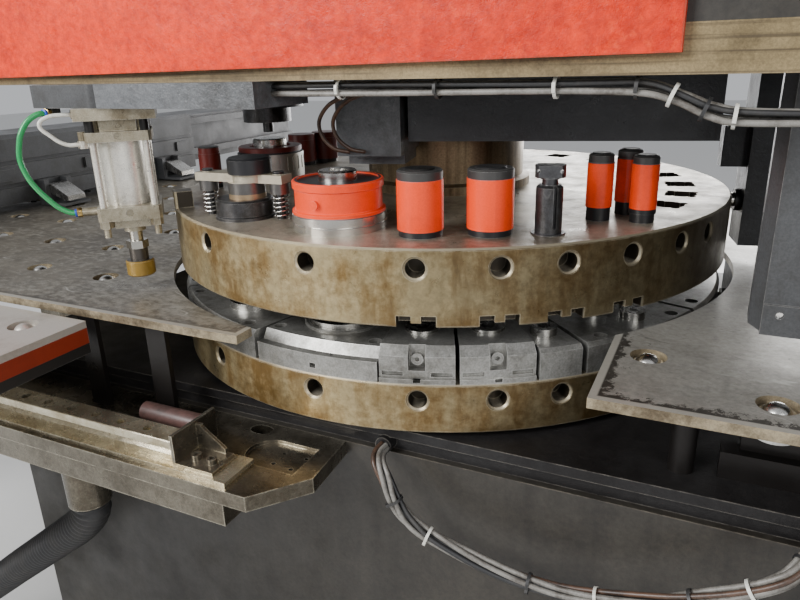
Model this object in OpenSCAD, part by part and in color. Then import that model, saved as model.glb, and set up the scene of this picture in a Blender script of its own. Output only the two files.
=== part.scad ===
// Turret punch press with a C-shaped plate frame, all sizes in millimetres.
// Z is up from the floor. X runs along the frame, from its open nose to the
// column. The turret turns about the Z axis.

/* [Frame] */
// Height of the sheet above the floor
pass_z = 930; // [910:1:945]
// Distance from the turret axis to the outer face of a side plate
frame_y = 450; // [440:1:480]
// Thickness of a side plate
plate_t = 45; // [30:1:55]
// Distance from the turret axis to the nose of the arms
nose_reach = 700; // [640:1:760]
// Distance from the turret axis to the column
column_x = 900; // [860:1:1000]
// Length of the column along X
column_len = 400; // [360:1:500]
// Height of the frame
frame_top = 1900; // [1750:1:2100]
// Underside of the upper arm above the sheet
throat_rise = 316; // [312:1:340]
// Top of the lower arm below the sheet
throat_drop = 170; // [166:1:180]
// Thickness of the base plate
base_t = 40; // [25:1:60]
// Spacing of the anchor bolts along X
anchor_dx = 1200; // [1000:10:1240]
// Spacing of the anchor bolts along Y
anchor_dy = 980; // [970:1:990]
// Radius of an anchor bolt hole
anchor_r = 13; // [9:1:18]
// Thickness of the orange side covers, folded edges included
cover_t = 14; // [8:1:20]
// Right end of the side covers
cover_x = 418; // [300:1:600]

/* [Turrets] */
// Radius of both turret discs
turret_r = 480; // [470:1:484]
// Thickness of the upper disc
upper_t = 101; // [90:1:110]
// Gap from the sheet to the upper disc
upper_gap = 22; // [16:1:26]
// Thickness of the lower disc
lower_t = 69; // [50:1:70]
// Top of the lower disc below the sheet
lower_drop = 57; // [54:1:62]
// Radius of the spindle shafts
spindle_r = 70; // [50:1:80]
// Radius of the spindle hubs
hub_r = 140; // [120:1:150]
// Radius of an index hole in the rims
index_r = 12.5; // [10:0.5:14]
// Depth of an index hole
index_depth = 28; // [24:1:30]
// Depth of an index hole below the top of the upper disc
index_drop = 25; // [20:1:35]
// Pitch radius of the ordinary stations
pitch_r = 406; // [396:1:412]
// Bore radius of an ordinary station
bore_b = 24; // [20:1:26]
// Bore radius of a slim station
bore_a = 17; // [14:1:18]
// Bore radius of a large station
bore_d = 60; // [50:1:62]

/* [Tools] */
// Radius of an ordinary tool's cover
cover_b = 30; // [27:1:31]
// Radius of a slim tool's cover
cover_a = 17.5; // [16:0.5:19]
// Radius of a large tool's cover
cover_d = 62; // [60.5:0.5:64]
// Height of the ordinary tools above the upper disc
tool_b_h = 84; // [70:1:92]
// Height of the slim tools above the upper disc
tool_a_h = 89; // [70:1:93]
// Height of the large tools above the upper disc
tool_d_h = 66; // [60:1:72]
// Height of the tool that stands under the ram
ram_tool_h = 79; // [70:1:86]
// Travel of a punch
punch_travel = 30; // [20:0.5:30]
// Length of the cross bar on the forming tool
form_bar_len = 150; // [130:1:160]
// Height of the die tops below the sheet
die_drop = 4; // [2:0.5:8]

/* [Ram] */
// Radius of the ram
ram_r = 45; // [35:1:55]
// Travel of the ram
ram_travel = 40; // [30:1:44]
// Radius of the striker pin below the ram
striker_r = 10; // [8:1:16]

/* [Tables] */
// Distance from the turret axis to the front and back edges of the fixed tables
table_y = 521; // [500:1:530]
// Thickness of the tables
table_t = 12; // [8:1:16]
// Distance from the turret axis to the far end of the left table
table_left = 1600; // [1500:1:1700]
// Radius of the round cut-out about the turrets
cutout_r = 497; // [490:1:505]
// Right end of the left table in front of the turrets
gap_left = -88; // [-140:1:-40]
// Left side of the right table in front of the turrets
gap_right = 365; // [300:1:420]
// Radius of a ball transfer's opening
ball_hole_r = 21; // [20:1:26]
// Radius of a table ball
ball_r = 15; // [11:0.1:15.5]

/* [Cross slide] */
// Travel of the cross slide towards the turrets
slide_in = 500; // [300:10:500]
// Distance from the turret axis to the middle of a rail
rail_y = 577; // [570:1:585]
// Width of a rail
rail_w = 34; // [25:1:40]
// Height of a rail
rail_h = 29; // [20:1:32]
// Height of the carriage beam
beam_h = 150; // [120:1:180]
// Half length of the carriage beam
beam_half = 1250; // [1150:10:1350]

/* [Hold-down] */
// Place of the hold-down cylinder along X
hold_x = -358; // [-380:1:-340]
// Place of the hold-down cylinder along Y
hold_y = -411; // [-420:1:-400]
// Side of the square cylinder caps
cap_w = 91; // [84:1:96]
// Bore radius of the cylinder
piston_r = 28; // [24:0.5:30]
// Gap from the pad to the sheet when it is up
pad_lift = 25; // [15:0.5:30]

/* [Hidden] */
$fn = 64;

// Running clearance of a shaft in its bore, on the radius
run = 0.05;
// Clearance between pieces that stand close without touching
near = 0.3;

// Heights that follow from the sheet
throat_z0 = pass_z - throat_drop;
throat_z1 = pass_z + throat_rise;
upper_z0 = pass_z + upper_gap;
upper_z1 = upper_z0 + upper_t;
lower_z1 = pass_z - lower_drop;
lower_z0 = lower_z1 - lower_t;
die_top = pass_z - die_drop;
nose_x = -nose_reach;
tail_x = column_x + column_len;
plate_in = frame_y - plate_t;

// Frame outline
throat_fillet = 60;
nose_run = 260;
nose_rise = 330;
tail_run = 160;
skin_t = 12;
web_t = 25;
deck_t = 15;
deck_z1 = throat_z0 + 37;
deck_end = column_x - throat_fillet - 5;
spacer_w = 35;
upper_deck_t = 30;
upper_deck_z1 = throat_z1 + upper_deck_t;

// Spindles and their drive
housing_r = 160;
bearing_r = 110;
bearing_h = 40;
shoulder_r = 85;
flange_r = 210;
drive_x = column_x + 180;
sprocket_teeth = 39;
pinion_teeth = 13;
chain_pitch = 25.4;
roller_r = 7.9;
sprocket_r = chain_pitch / (2 * sin(180 / sprocket_teeth));
pinion_r = chain_pitch / (2 * sin(180 / pinion_teeth));
sprocket_t = 14;
upper_chain_z = upper_deck_z1 + 32;
lower_chain_z = throat_z0 - 187;
drive_r = 25;
shelf_z = upper_chain_z + 45;

// Station angles of tools that show, in degrees about the turret axis
b1_a = -72.8;
b2_a = -60.2;
t_a = -50.4;
a1_a = -35.9;
a2_a = -31;
a3_a = -27.3;
d_a = -90.7;
form_a = -114.7;
ram_a = -168;
a_pitch_r = 389;
a2_pitch_r = 434;
t_pitch_r = 425;
d_pitch_r = 379;
form_pitch_r = 408;
ram_pitch_r = 343;
form_bore = 38;
t_bore = 17;
t_seat = 22;
t_die = 18;
// Stations of the tools at the back, a slim one at the left, and the empty ones
rear_angles = [163, 154, 130, 107];
left_a = -155;
left_pitch_r = 432;
empty_angles = [-14, -1, 12, 26, 41, 57, 73, 90];
// Index holes on one half of a rim; each has another hole opposite
index_half = [-168, -141, -113.6, -90.1, -72.7, -60.3, -50, -38.8, -27.5, -18.4, -3];
pin_a = ram_a + 180;
upper_index_z = upper_z1 - index_drop;
lower_index_z = lower_z1 - 22;

// Tools
tip_z = upper_z0 + 2;
guide_z = upper_z0 + 5;
tip_b = 9;
tip_a = 5;
tip_t = 8;
tip_d = 40;
tip_form = 20;
die_play = 0.3;
head_b = 20;
head_a = 13;
head_d = 26;
head_ram = 32;
stem_r = 9;
form_top = 88;
form_bar_z = upper_z1 + 52.5;
form_spring_h = 37;
form_travel = 22;
form_stem = 27;
form_shift = 6;
post_dx = form_bar_len / 2 - 13;

// Die holders
holder_z1 = pass_z - 15;
holder_step = pass_z - 29;
holder_in = 300;
holder_out = turret_r - 2;
b_holder_z1 = pass_z - 8;
die_b = 23;
die_d = 52;
d_ring_r = 58;
die_seat = pass_z - 36;

// Ram
ram_p = ram_pitch_r * [cos(ram_a), sin(ram_a)];
striker_z = upper_z1 + ram_tool_h + ram_travel - punch_travel + 1;
guide_tube_z = throat_z1 - 56;
guide_tube_r = ram_r + 25;
cyl_h = 300;

// Tables
table_z0 = pass_z - table_t;
strut_y = table_y - 21;
ball_up = 2.5;
cup_gap = 0.2;
cup_h = 26;
right_end = column_x - 10;
back_split = 60;
grid_dx = 165;
grid_dy = 150;
grid_x0 = -471;
grid_skew = 20;
right_balls = [[411, -389], [543, -465], [700, -440], [620, -240], [790, -250],
    [640, -60], [790, 0], [620, 130], [790, 200], [640, 300], [790, 430]];

// Slide beds and rails
bed_z1 = throat_z0;
bed_t = 22;
bed_in = frame_y;
bed_out = rail_y + 39;
bed_end = 26;
way_t = 6;
rail_z0 = bed_z1 + way_t;
rail_z1 = rail_z0 + rail_h;
rail_end = -150;
bed_left = -1860;
leg_w = 100;

// Cross slide
beam_x0 = -1400;
beam_w = 200;
beam_z0 = pass_z + 30;
beam_wall = 14;
block_len = 100;
saddle_x1 = -720;
saddle_t = 24;
wing_x0 = -1150;
wing_x1 = -355;
wing_y0 = table_y + 12;
wing_z1 = pass_z - 12;
wing_t = 10;
wing_rim = 40;
carriage_x = beam_x0 + beam_w + 20;
carriage_half = 620;
clamp_ys = [-420, 60, 480];
clamp_z0 = pass_z + ball_up + 1.5;
lip_t = 6;
mouth = 6;
jaw_pivot = [carriage_x + 52, beam_z0 + 14];
jaw_pin_r = 6;

// Hold-down
bracket_h = 32;
bracket_z0 = throat_z1 - bracket_h;
pad_z0 = pass_z + pad_lift;
hold_turn = 43;
head_cap = [bracket_z0 - 48, bracket_z0 - 34];
low_cap = [bracket_z0 - 163, bracket_z0 - 143];

// Cords: routes chosen by hand, and their diameters
green_d = 8;
green_path = [[-409, -459, 1061], [-420, -469, 1061], [-432, -480, 1070],
    [-441, -489, 1084], [-450, -497, 1100], [-457, -503, 1118],
    [-461, -507, 1144], [-458, -504, 1170], [-453, -500, 1185],
    [-446, -493, 1198], [-438, -483, 1206], [-434, -474, 1207],
    [-434, -465, 1207]];
white_d = 6;
white_path = [[-402, -452, 1161], [-410.8, -460.2, 1161], [-420, -468, 1166],
    [-428, -476, 1176], [-434, -482, 1184], [-436, -484, 1191],
    [-433, -481, 1198], [-424, -472, 1203], [-414.2, -463.5, 1204],
    [-404, -454, 1204]];
harness_d = 20;
harness_path = [[90, -458, 770], [92, -476, 769], [100, -490, 765],
    [112, -498, 752], [124, -502, 730], [141, -503, 706], [165, -504, 690],
    [190, -504, 681], [245, -505, 667], [309, -505, 659], [369, -505, 662],
    [454, -505, 684], [500, -504, 705], [544, -502, 730], [575, -496, 752],
    [592, -478, 768], [600, -458, 770]];
hose_d = 60;
hose_path = [[-388, -560, 618], [-390, -560, 600], [-405, -560, 578],
    [-432, -560, 552], [-468, -560, 524], [-538, -560, 470],
    [-620, -560, 407], [-740, -560, 313], [-880, -560, 206],
    [-1010, -560, 118], [-1130, -560, 60], [-1260, -560, 34],
    [-1440, -560, 33], [-1600, -560, 45], [-1720, -560, 55]];
loom_d = 20;
loom_path = [[-60, -428, 1235], [100, -428, 1235], [250, -428, 1235],
    [350, -428, 1235], [390, -428, 1233], [420, -428, 1223],
    [448, -428, 1211], [480, -428, 1206], [580, -428, 1206]];
lead_d = 7;
lead_paths = [[[66, -428, 1229], [44, -398, 1228], [8, -374, 1223],
    [-30, -352, 1210], [-54, -338, 1188], [-54, -330, 1165],
    [-40, -322, 1149], [-22, -311, 1144]],
    [[84, -428, 1229], [60, -396, 1228], [24, -370, 1223], [-12, -348, 1209],
    [-34, -334, 1187], [-33, -326, 1165], [-18, -316, 1149], [0, -306, 1144]]];

// Helpers

// A flat profile drawn in X and Z, given thickness from y0 towards +Y
module along_y(y0, t) {
    translate([0, y0 + t, 0]) rotate([90, 0, 0]) linear_extrude(t) children();
}

// A round bar or ring with a rise, standing on z0
module tube(r_out, r_in, z0, z1) {
    difference() {
        translate([0, 0, z0]) cylinder(r = r_out, h = z1 - z0);
        if (r_in > 0) translate([0, 0, z0 - 1]) cylinder(r = r_in, h = z1 - z0 + 2);
    }
}

// A place on a pitch circle about the turret axis
module at(angle, radius) {
    rotate([0, 0, angle]) translate([radius, 0, 0]) children();
}

// A box between two corners
module block(low, high) {
    translate(low) cube(high - low);
}

// The same piece on the front and on the back of the machine
module both_sides() {
    children();
    mirror([0, 1, 0]) children();
}

// Part of a ring with a given section, between two angles
module sector(a0, a1) {
    rotate([0, 0, a0]) rotate_extrude(angle = a1 - a0, $fn = 128) children();
}

// A round tube swept along a route, whose ends may be square to the nearest axis
function unit(v) = v / norm(v);
function nearest_axis(v) = let (m = max([for (c = v) abs(c)]))
    [for (c = v) abs(c) == m ? sign(c) : 0];
function heading(p, i, square_ends) =
    let (d = unit(p[min(i + 1, len(p) - 1)] - p[max(i - 1, 0)]))
    square_ends && (i == 0 || i == len(p) - 1) ? nearest_axis(d) : d;
function side_of(d, up) = unit(cross(d, up));
module swept(path, diameter, sides, up = [0, 0, 1], square_ends = false) {
    n = len(path);
    points = [for (i = [0:n - 1]) for (k = [0:sides - 1])
        let (d = heading(path, i, square_ends), s = side_of(d, up), t = cross(s, d))
        path[i] + diameter / 2 * (cos(360 * k / sides) * s + sin(360 * k / sides) * t)];
    walls = [for (i = [0:n - 2]) for (k = [0:sides - 1])
        let (a = i * sides + k, b = i * sides + (k + 1) % sides)
        [a, b, b + sides, a + sides]];
    ends = [[for (k = [sides - 1:-1:0]) k], [for (k = [0:sides - 1]) (n - 1) * sides + k]];
    polyhedron(points, concat(walls, ends));
}

// Frame

// Inset corner of the sloping nose or tail, d inside the outline
function slope_low(run_x, rise_z, d) =
    let (l = norm([run_x, rise_z])) -d * run_x / l + (d - d * rise_z / l) * rise_z / run_x;
function slope_high(run_x, rise_z, d) =
    let (l = norm([run_x, rise_z])) d * rise_z / l + (rise_z - d + d * run_x / l) * run_x / rise_z;

module frame_outline(d = 0) {
    polygon([
        [nose_x + d, base_t], [tail_x - d, base_t],
        [tail_x - d, frame_top - tail_run + slope_low(tail_run, tail_run, d)],
        [tail_x - slope_high(tail_run, tail_run, d), frame_top - d],
        [nose_x + slope_high(nose_run, nose_rise, d), frame_top - d],
        [nose_x + d, frame_top - nose_rise + slope_low(nose_run, nose_rise, d)]]);
}

module throat_outline() {
    square_x = column_x - throat_fillet;
    translate([nose_x - 1, throat_z0])
        square([square_x - nose_x + 1, throat_z1 - throat_z0]);
    translate([nose_x - 1, throat_z0 + throat_fillet])
        square([column_x - nose_x + 1, throat_z1 - throat_z0 - 2 * throat_fillet]);
    for (z = [throat_z0 + throat_fillet, throat_z1 - throat_fillet])
        translate([square_x, z]) circle(throat_fillet);
}

module side_plates() {
    color([0.16, 0.16, 0.17]) both_sides()
        along_y(-frame_y, plate_t) difference() {
            frame_outline();
            throat_outline();
        }
}

module base_plate() {
    flange = anchor_dy / 2 + 30;
    color([0.13, 0.13, 0.14]) difference() {
        block([nose_x - 20, -flange, 0], [tail_x + 20, flange, base_t]);
        for (x = [-anchor_dx / 2, anchor_dx / 2], y = [-anchor_dy / 2, anchor_dy / 2])
            translate([x, y, -1]) cylinder(r = anchor_r, h = base_t + 2);
    }
}

// The deck under the lower turret, on its set-back spacer bars
module lower_deck() {
    color([0.12, 0.12, 0.12]) difference() {
        union() {
            block([nose_x, -frame_y, deck_z1 - deck_t], [deck_end, frame_y, deck_z1]);
            both_sides() block([nose_x, -plate_in - spacer_w, throat_z0],
                [deck_end, -plate_in, deck_z1 - deck_t]);
            // Glands of the wiring harness
            for (p = [harness_path[0], harness_path[16]])
                translate([p[0], p[1], max(p[2], throat_z0 + 12.1)]) rotate([-90, 0, 0])
                    cylinder(r = 12, h = -p[1] - plate_in - spacer_w + 2);
        }
        translate([0, 0, throat_z0 - 1]) cylinder(r = housing_r, h = 60);
    }
}

module upper_deck() {
    color([0.14, 0.14, 0.15]) difference() {
        block([nose_x, -plate_in, throat_z1], [column_x, plate_in, upper_deck_z1]);
        translate([0, 0, throat_z1 - 1]) cylinder(r = housing_r, h = upper_deck_t + 2);
        translate([ram_p[0], ram_p[1], throat_z1 - 1])
            cylinder(r = guide_tube_r, h = upper_deck_t + 2);
    }
}

// Nose, top and back plates between the side plates, with the column's webs
module arm_skin() {
    window_y = sprocket_r + 25;
    color([0.15, 0.15, 0.16]) {
        along_y(-plate_in, 2 * plate_in) difference() {
            frame_outline();
            frame_outline(skin_t);
            translate([nose_x - 1, 0]) square([column_x - nose_x, upper_deck_z1]);
        }
        block([nose_x, -plate_in, base_t], [nose_x + skin_t, plate_in, throat_z0]);
        difference() {
            block([column_x, -plate_in, base_t],
                [column_x + web_t, plate_in, frame_top - skin_t]);
            for (z = [upper_chain_z, lower_chain_z])
                block([column_x - 1, -window_y, z - 25],
                    [column_x + web_t + 1, window_y, z + 25]);
        }
        // Shelf that steadies the drive shaft
        difference() {
            block([column_x + web_t, -plate_in, shelf_z],
                [tail_x - skin_t, plate_in, shelf_z + web_t]);
            translate([drive_x, 0, shelf_z - 1]) cylinder(r = drive_r + run, h = web_t + 2);
        }
    }
}

// Folded sheet covers on the sides of the upper arm
module side_covers() {
    wall = 3;
    low_left = throat_z1 + 9;
    low_right = throat_z1 + 20;
    module area(d) {
        intersection() {
            frame_outline(d + 8);
            polygon([[nose_x + d, low_left + d], [cover_x - d, low_right + d],
                [cover_x - d, frame_top - d], [nose_x + d, frame_top - d]]);
        }
    }
    color([0.83, 0.20, 0.09]) both_sides() difference() {
        along_y(-frame_y - cover_t, cover_t) area(0);
        along_y(-frame_y - cover_t + wall, cover_t) area(wall);
    }
}

// Black beam below the upper arm, with the sensor block at its left
beam_turn = 12.5;
block_front = -292;
block_z = upper_z1 + ram_tool_h + 5;
module turret_beam() {
    beam_z = upper_z1 + 103;
    color([0.13, 0.14, 0.15]) {
        rotate([0, 0, beam_turn]) {
            difference() {
                block([-8, -276, beam_z], [405, 160, throat_z1]);
                translate([0, 0, beam_z - 1]) cylinder(r = housing_r + near, h = 200);
            }
            block([-110, block_front, block_z], [-16, -housing_r - 5, throat_z1]);
            block([-106, -250, block_z - 17], [-20, -housing_r - 8, block_z]);
        }
        // Bar under the arm beside the hold-down
        block([hold_x + 30 + near, hold_y - 62, bracket_z0], [-60, hold_y + 58, throat_z1]);
    }
}

module bearing_housings() {
    color([0.30, 0.29, 0.27]) {
        difference() {
            union() {
                tube(housing_r, 0, lower_chain_z + 25, deck_z1);
                tube(flange_r, 0, throat_z0 - 3, deck_z1 - deck_t);
            }
            translate([0, 0, lower_chain_z + 24]) cylinder(r = shoulder_r, h = 300);
            translate([0, 0, lower_chain_z + 37]) cylinder(r = bearing_r, h = 300);
        }
        difference() {
            union() {
                tube(housing_r, 0, upper_z1 + 107, upper_chain_z - 12);
                tube(flange_r, 0, upper_deck_z1, upper_chain_z - 12);
            }
            translate([0, 0, upper_z1 + 106]) cylinder(r = shoulder_r, h = 300);
            translate([0, 0, upper_z1 + 119]) cylinder(r = bearing_r, h = 300);
        }
    }
}

module spindle_bearings() {
    color([0.72, 0.72, 0.74])
        for (z = [lower_chain_z + 37, deck_z1 - 8 - bearing_h,
                  upper_z1 + 119, upper_chain_z - 16 - bearing_h])
            tube(bearing_r, spindle_r + run, z, z + bearing_h);
}

// Turret drive

module sprocket(teeth, radius, z) {
    translate([0, 0, z - sprocket_t / 2]) linear_extrude(sprocket_t) difference() {
        circle(radius + 4, $fn = 96);
        for (i = [0:teeth - 1])
            rotate(360 * i / teeth) translate([radius, 0]) circle(roller_r, $fn = 24);
    }
}

module drive_shaft() {
    color([0.55, 0.55, 0.57]) translate([drive_x, 0, 0]) {
        tube(drive_r, 0, base_t + 350 + near, shelf_z + web_t + 10);
        tube(40, 0, base_t + 350 + near, base_t + 410);
        for (z = [lower_chain_z, upper_chain_z]) sprocket(pinion_teeth, pinion_r, z);
    }
}

module turret_motor() {
    half = 105;
    color([0.22, 0.25, 0.30]) translate([drive_x, 0, 0]) {
        block([-half - 15, -half - 15, base_t], [half + 15, half + 15, base_t + 25]);
        tube(half, 0, base_t + 25, base_t + 300);
        for (i = [0:11]) rotate([0, 0, 30 * i + 15])
            block([half - 4, -4, base_t + 60], [half + 9, 4, base_t + 280]);
        block([-70, -70, base_t + 300], [70, 70, base_t + 350]);
    }
}

module drive_chains() {
    tip = 4.5;
    band = 9;
    module loop(extra) {
        hull() {
            circle(sprocket_r + extra, $fn = 48);
            translate([drive_x, 0]) circle(pinion_r + extra, $fn = 32);
        }
    }
    color([0.30, 0.28, 0.25]) for (z = [lower_chain_z, upper_chain_z])
        translate([0, 0, z - 8]) linear_extrude(16) difference() {
            loop(tip + band);
            loop(tip);
        }
}

// Turrets

module upper_turret() {
    chamfer = 3;
    color([0.42, 0.36, 0.26]) difference() {
        union() {
            rotate_extrude($fn = 192) polygon([[0, upper_z0], [turret_r - 2, upper_z0],
                [turret_r, upper_z0 + 2], [turret_r, upper_z1 - chamfer],
                [turret_r - chamfer, upper_z1], [0, upper_z1]]);
            // Stop block on the edge
            at(-133, turret_r - 14)
                block([-14, -16, upper_z1 - 1], [14, 16, upper_z1 + 26]);
        }
        translate([0, 0, upper_z0 - 1]) cylinder(r = spindle_r, h = upper_t + 2);
        for (a = [b1_a, b2_a]) at(a, pitch_r) station(bore_b);
        for (a = rear_angles) at(a, pitch_r) station(bore_b);
        for (a = empty_angles) at(a, pitch_r) station(bore_b);
        for (a = [a1_a, a3_a]) at(a, a_pitch_r) station(bore_a);
        at(a2_a, a2_pitch_r) station(bore_a);
        at(left_a, left_pitch_r) station(bore_a);
        at(t_a, t_pitch_r) station(t_seat);
        at(d_a, d_pitch_r) station(bore_d);
        at(ram_a, ram_pitch_r) station(bore_d);
        at(form_a, form_pitch_r) station(form_bore);
        // Key slots that give the empty bores their scalloped outline
        for (a = empty_angles) at(a, pitch_r)
            for (k = [0:3]) rotate([0, 0, 90 * k + 45])
                translate([bore_b, 0, upper_z1 - 12]) cylinder(r = 7, h = 20, $fn = 24);
        rim_holes(upper_index_z);
        for (i = [4:7]) edge_notch(index_half[i]);
    }
}

module station(radius) {
    translate([0, 0, upper_z0 - 1]) cylinder(r = radius, h = upper_t + 2);
}

// Blind index holes all round a rim, with a shallow seat for their bushings
module rim_holes(z) {
    for (a = index_half, turn = [0, 180])
        rotate([0, 0, a + turn]) translate([turret_r + 1, 0, z]) rotate([0, -90, 0]) {
            cylinder(r = index_r, h = index_depth + 1, $fn = 48);
            cylinder(r1 = index_r + 4, r2 = index_r, h = 4, $fn = 48);
        }
}

// Notch in the lower edge of the upper disc, with a tab in its middle
module edge_notch(a) {
    half = 25;
    tab = 6.5;
    rotate([0, 0, a]) translate([turret_r - 24, 0, upper_z0]) difference() {
        block([0, -half, -1], [30, half, 15]);
        block([-1, -tab, 6], [31, tab, 16]);
    }
}

module upper_spindle() {
    color([0.45, 0.38, 0.27]) difference() {
        union() {
            rotate_extrude($fn = 96) polygon([[0, upper_z0 + 20], [spindle_r, upper_z0 + 20],
                [spindle_r, upper_z1], [hub_r + 12, upper_z1], [hub_r + 12, upper_z1 + 14],
                [hub_r, upper_z1 + 18], [hub_r, upper_z1 + 96], [spindle_r + 8, upper_z1 + 101],
                [spindle_r, upper_z1 + 101], [spindle_r, upper_chain_z + 20],
                [0, upper_chain_z + 20]]);
            sprocket(sprocket_teeth, sprocket_r, upper_chain_z);
        }
        translate([0, 0, upper_z0]) cylinder(r = 30, h = 500);
    }
}

module lower_turret() {
    slug = 8;
    color([0.42, 0.36, 0.26]) difference() {
        rotate_extrude($fn = 192) polygon([[spindle_r, lower_z0], [turret_r - 2, lower_z0],
            [turret_r, lower_z0 + 2], [turret_r, lower_z1 - 2], [turret_r - 2, lower_z1],
            [spindle_r, lower_z1]]);
        for (a = concat([b1_a, b2_a], rear_angles, empty_angles))
            at(a, pitch_r) slug_hole(tip_b + slug);
        at(t_a, t_pitch_r) slug_hole(tip_t + slug);
        at(left_a, left_pitch_r) slug_hole(tip_a + slug);
        for (a = [a1_a, a3_a]) at(a, a_pitch_r) slug_hole(tip_a + slug);
        at(a2_a, a2_pitch_r) slug_hole(tip_a + slug);
        at(d_a, d_pitch_r) slug_hole(tip_d + slug);
        at(ram_a, ram_pitch_r) slug_hole(tip_d + slug);
        at(form_a, form_pitch_r) slug_hole(tip_form);
        rim_holes(lower_index_z);
    }
}

module slug_hole(radius) {
    translate([0, 0, lower_z0 - 1]) cylinder(r = radius, h = lower_t + 2);
}

module lower_spindle() {
    color([0.45, 0.38, 0.27]) difference() {
        union() {
            rotate_extrude($fn = 96) polygon([[0, lower_chain_z - 20],
                [spindle_r, lower_chain_z - 20], [spindle_r, lower_z1], [hub_r, lower_z1],
                [hub_r, lower_z1 + 14], [0, lower_z1 + 14]]);
            sprocket(sprocket_teeth, sprocket_r, lower_chain_z);
        }
        translate([0, 0, lower_chain_z - 30]) cylinder(r = 30, h = 500);
    }
}

// Die holders and dies

module holder_bores(seat_r) {
    translate([0, 0, die_seat]) cylinder(r = seat_r + 0.2, h = 60);
    translate([0, 0, lower_z1 - 1]) cylinder(r = seat_r - 4, h = 60);
}

module holder_screw_hole() {
    translate([0, 0, holder_z1 - 8]) cylinder(r = 9, h = 20, $fn = 32);
}

// Plain arc segments that fill the ring where no special holder sits
module die_holders() {
    gap = 0.25;
    arcs = [[-134, -102.2], [-54, -46.4], [-45.9, -20], [-19.5, 19], [19.5, 58],
        [58.5, 98], [98.5, 141], [141.5, 178], [178.5, 210], [210.5, 225.5]];
    color([0.50, 0.50, 0.50]) difference() {
        for (s = arcs) sector(s[0] + gap, s[1] - gap)
            polygon([[holder_in, lower_z1], [holder_out, lower_z1],
                [holder_out, holder_z1 - 5], [holder_out - 5, holder_z1],
                [holder_in, holder_z1]]);
        for (a = concat(empty_angles, rear_angles)) at(a, pitch_r) holder_bores(die_b);
        at(t_a, t_pitch_r) holder_bores(t_die);
        at(left_a, left_pitch_r) holder_bores(bore_a);
        for (a = [a1_a, a3_a]) at(a, a_pitch_r) holder_bores(bore_a);
        at(a2_a, a2_pitch_r) holder_bores(bore_a);
        at(form_a, form_pitch_r) holder_bores(form_bore);
        at(ram_a, ram_pitch_r) holder_bores(die_d);
        for (s = arcs) if (s[1] - s[0] > 12) for (a = [s[0] + 4, s[1] - 4])
            for (r = [holder_in + 25, holder_out - 18]) at(a, r) holder_screw_hole();
    }
}

// Holder of the large die, with a low ring about it
module d_die_holder() {
    color([0.52, 0.52, 0.52]) at(d_a, d_pitch_r) rotate_extrude() polygon([
        [die_d + 0.2, holder_z1], [d_ring_r, holder_z1], [d_ring_r, holder_z1 + 3],
        [d_ring_r - 1, holder_z1 + 4], [die_d + 0.2, holder_z1 + 4]]);
    color([0.52, 0.52, 0.52]) difference() {
        sector(-101.7, -79)
            polygon([[holder_in - 35, lower_z1], [holder_out, lower_z1],
                [holder_out, holder_step], [holder_out - 12, holder_step],
                [holder_out - 20, holder_z1], [holder_in - 35, holder_z1]]);
        at(d_a, d_pitch_r) holder_bores(die_d);
        for (a = [-100.3, -80.5]) at(a, holder_out - 36) holder_screw_hole();
        for (a = [-98, -83]) at(a, holder_in - 18) holder_screw_hole();
        // Square and round sight holes in the outer face
        at(-90.2, holder_out) block([-10, -4.5, lower_z1 + 8], [5, 4.5, lower_z1 + 15]);
        at(-87, holder_out - 8) translate([0, 0, holder_step - 12])
            cylinder(r = 3.5, h = 40, $fn = 24);
    }
}

module b_die_holders() {
    strip = 7;
    half = 5.95;
    color([0.55, 0.55, 0.54]) for (a = [b1_a, b2_a]) {
        difference() {
            sector(a - half, a + half)
                polygon([[holder_in, lower_z1], [holder_out, lower_z1],
                    [holder_out, lower_z1 + strip], [holder_out - 3, lower_z1 + strip],
                    [holder_out - 3, b_holder_z1 - 12], [holder_out - 14, b_holder_z1],
                    [holder_in, b_holder_z1]]);
            at(a, pitch_r) holder_bores(die_b);
            // Pocket of the clamping screw, side slots and the notch below
            at(a, holder_out) {
                block([-17, -11, lower_z1 + 18], [5, 11, b_holder_z1 + 5]);
                for (s = [-1, 1]) translate([0, s * 32, 0])
                    block([-9, -14, lower_z1 + strip + 3], [5, 14, lower_z1 + strip + 9]);
                block([-8, -5, lower_z1 + 2], [5, 5, lower_z1 + strip]);
            }
            for (r = [holder_in + 18, holder_in + 46]) at(a, r) holder_screw_hole();
        }
        // Clamping screw in its pocket
        at(a, holder_out - 18) translate([0, 0, lower_z1 + 31]) rotate([0, 90, 0]) difference() {
            cylinder(r = 8, h = 8);
            translate([0, 0, 3]) cylinder(r = 3.5, h = 10, $fn = 6);
        }
    }
}

module die(radius, hole) {
    tube(radius, hole + die_play, die_seat, die_top);
}

module dies() {
    color([0.62, 0.62, 0.63]) {
        for (a = concat([b1_a, b2_a], rear_angles)) at(a, pitch_r) die(die_b, tip_b);
        at(t_a, t_pitch_r) die(t_die, tip_t);
        at(left_a, left_pitch_r) die(bore_a, tip_a);
        for (a = [a1_a, a3_a]) at(a, a_pitch_r) die(bore_a, tip_a);
        at(a2_a, a2_pitch_r) die(bore_a, tip_a);
        at(d_a, d_pitch_r) die(die_d, tip_d);
        at(ram_a, ram_pitch_r) die(die_d, tip_d);
        at(form_a, form_pitch_r) die(form_bore, tip_form);
    }
}

// Tools

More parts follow.
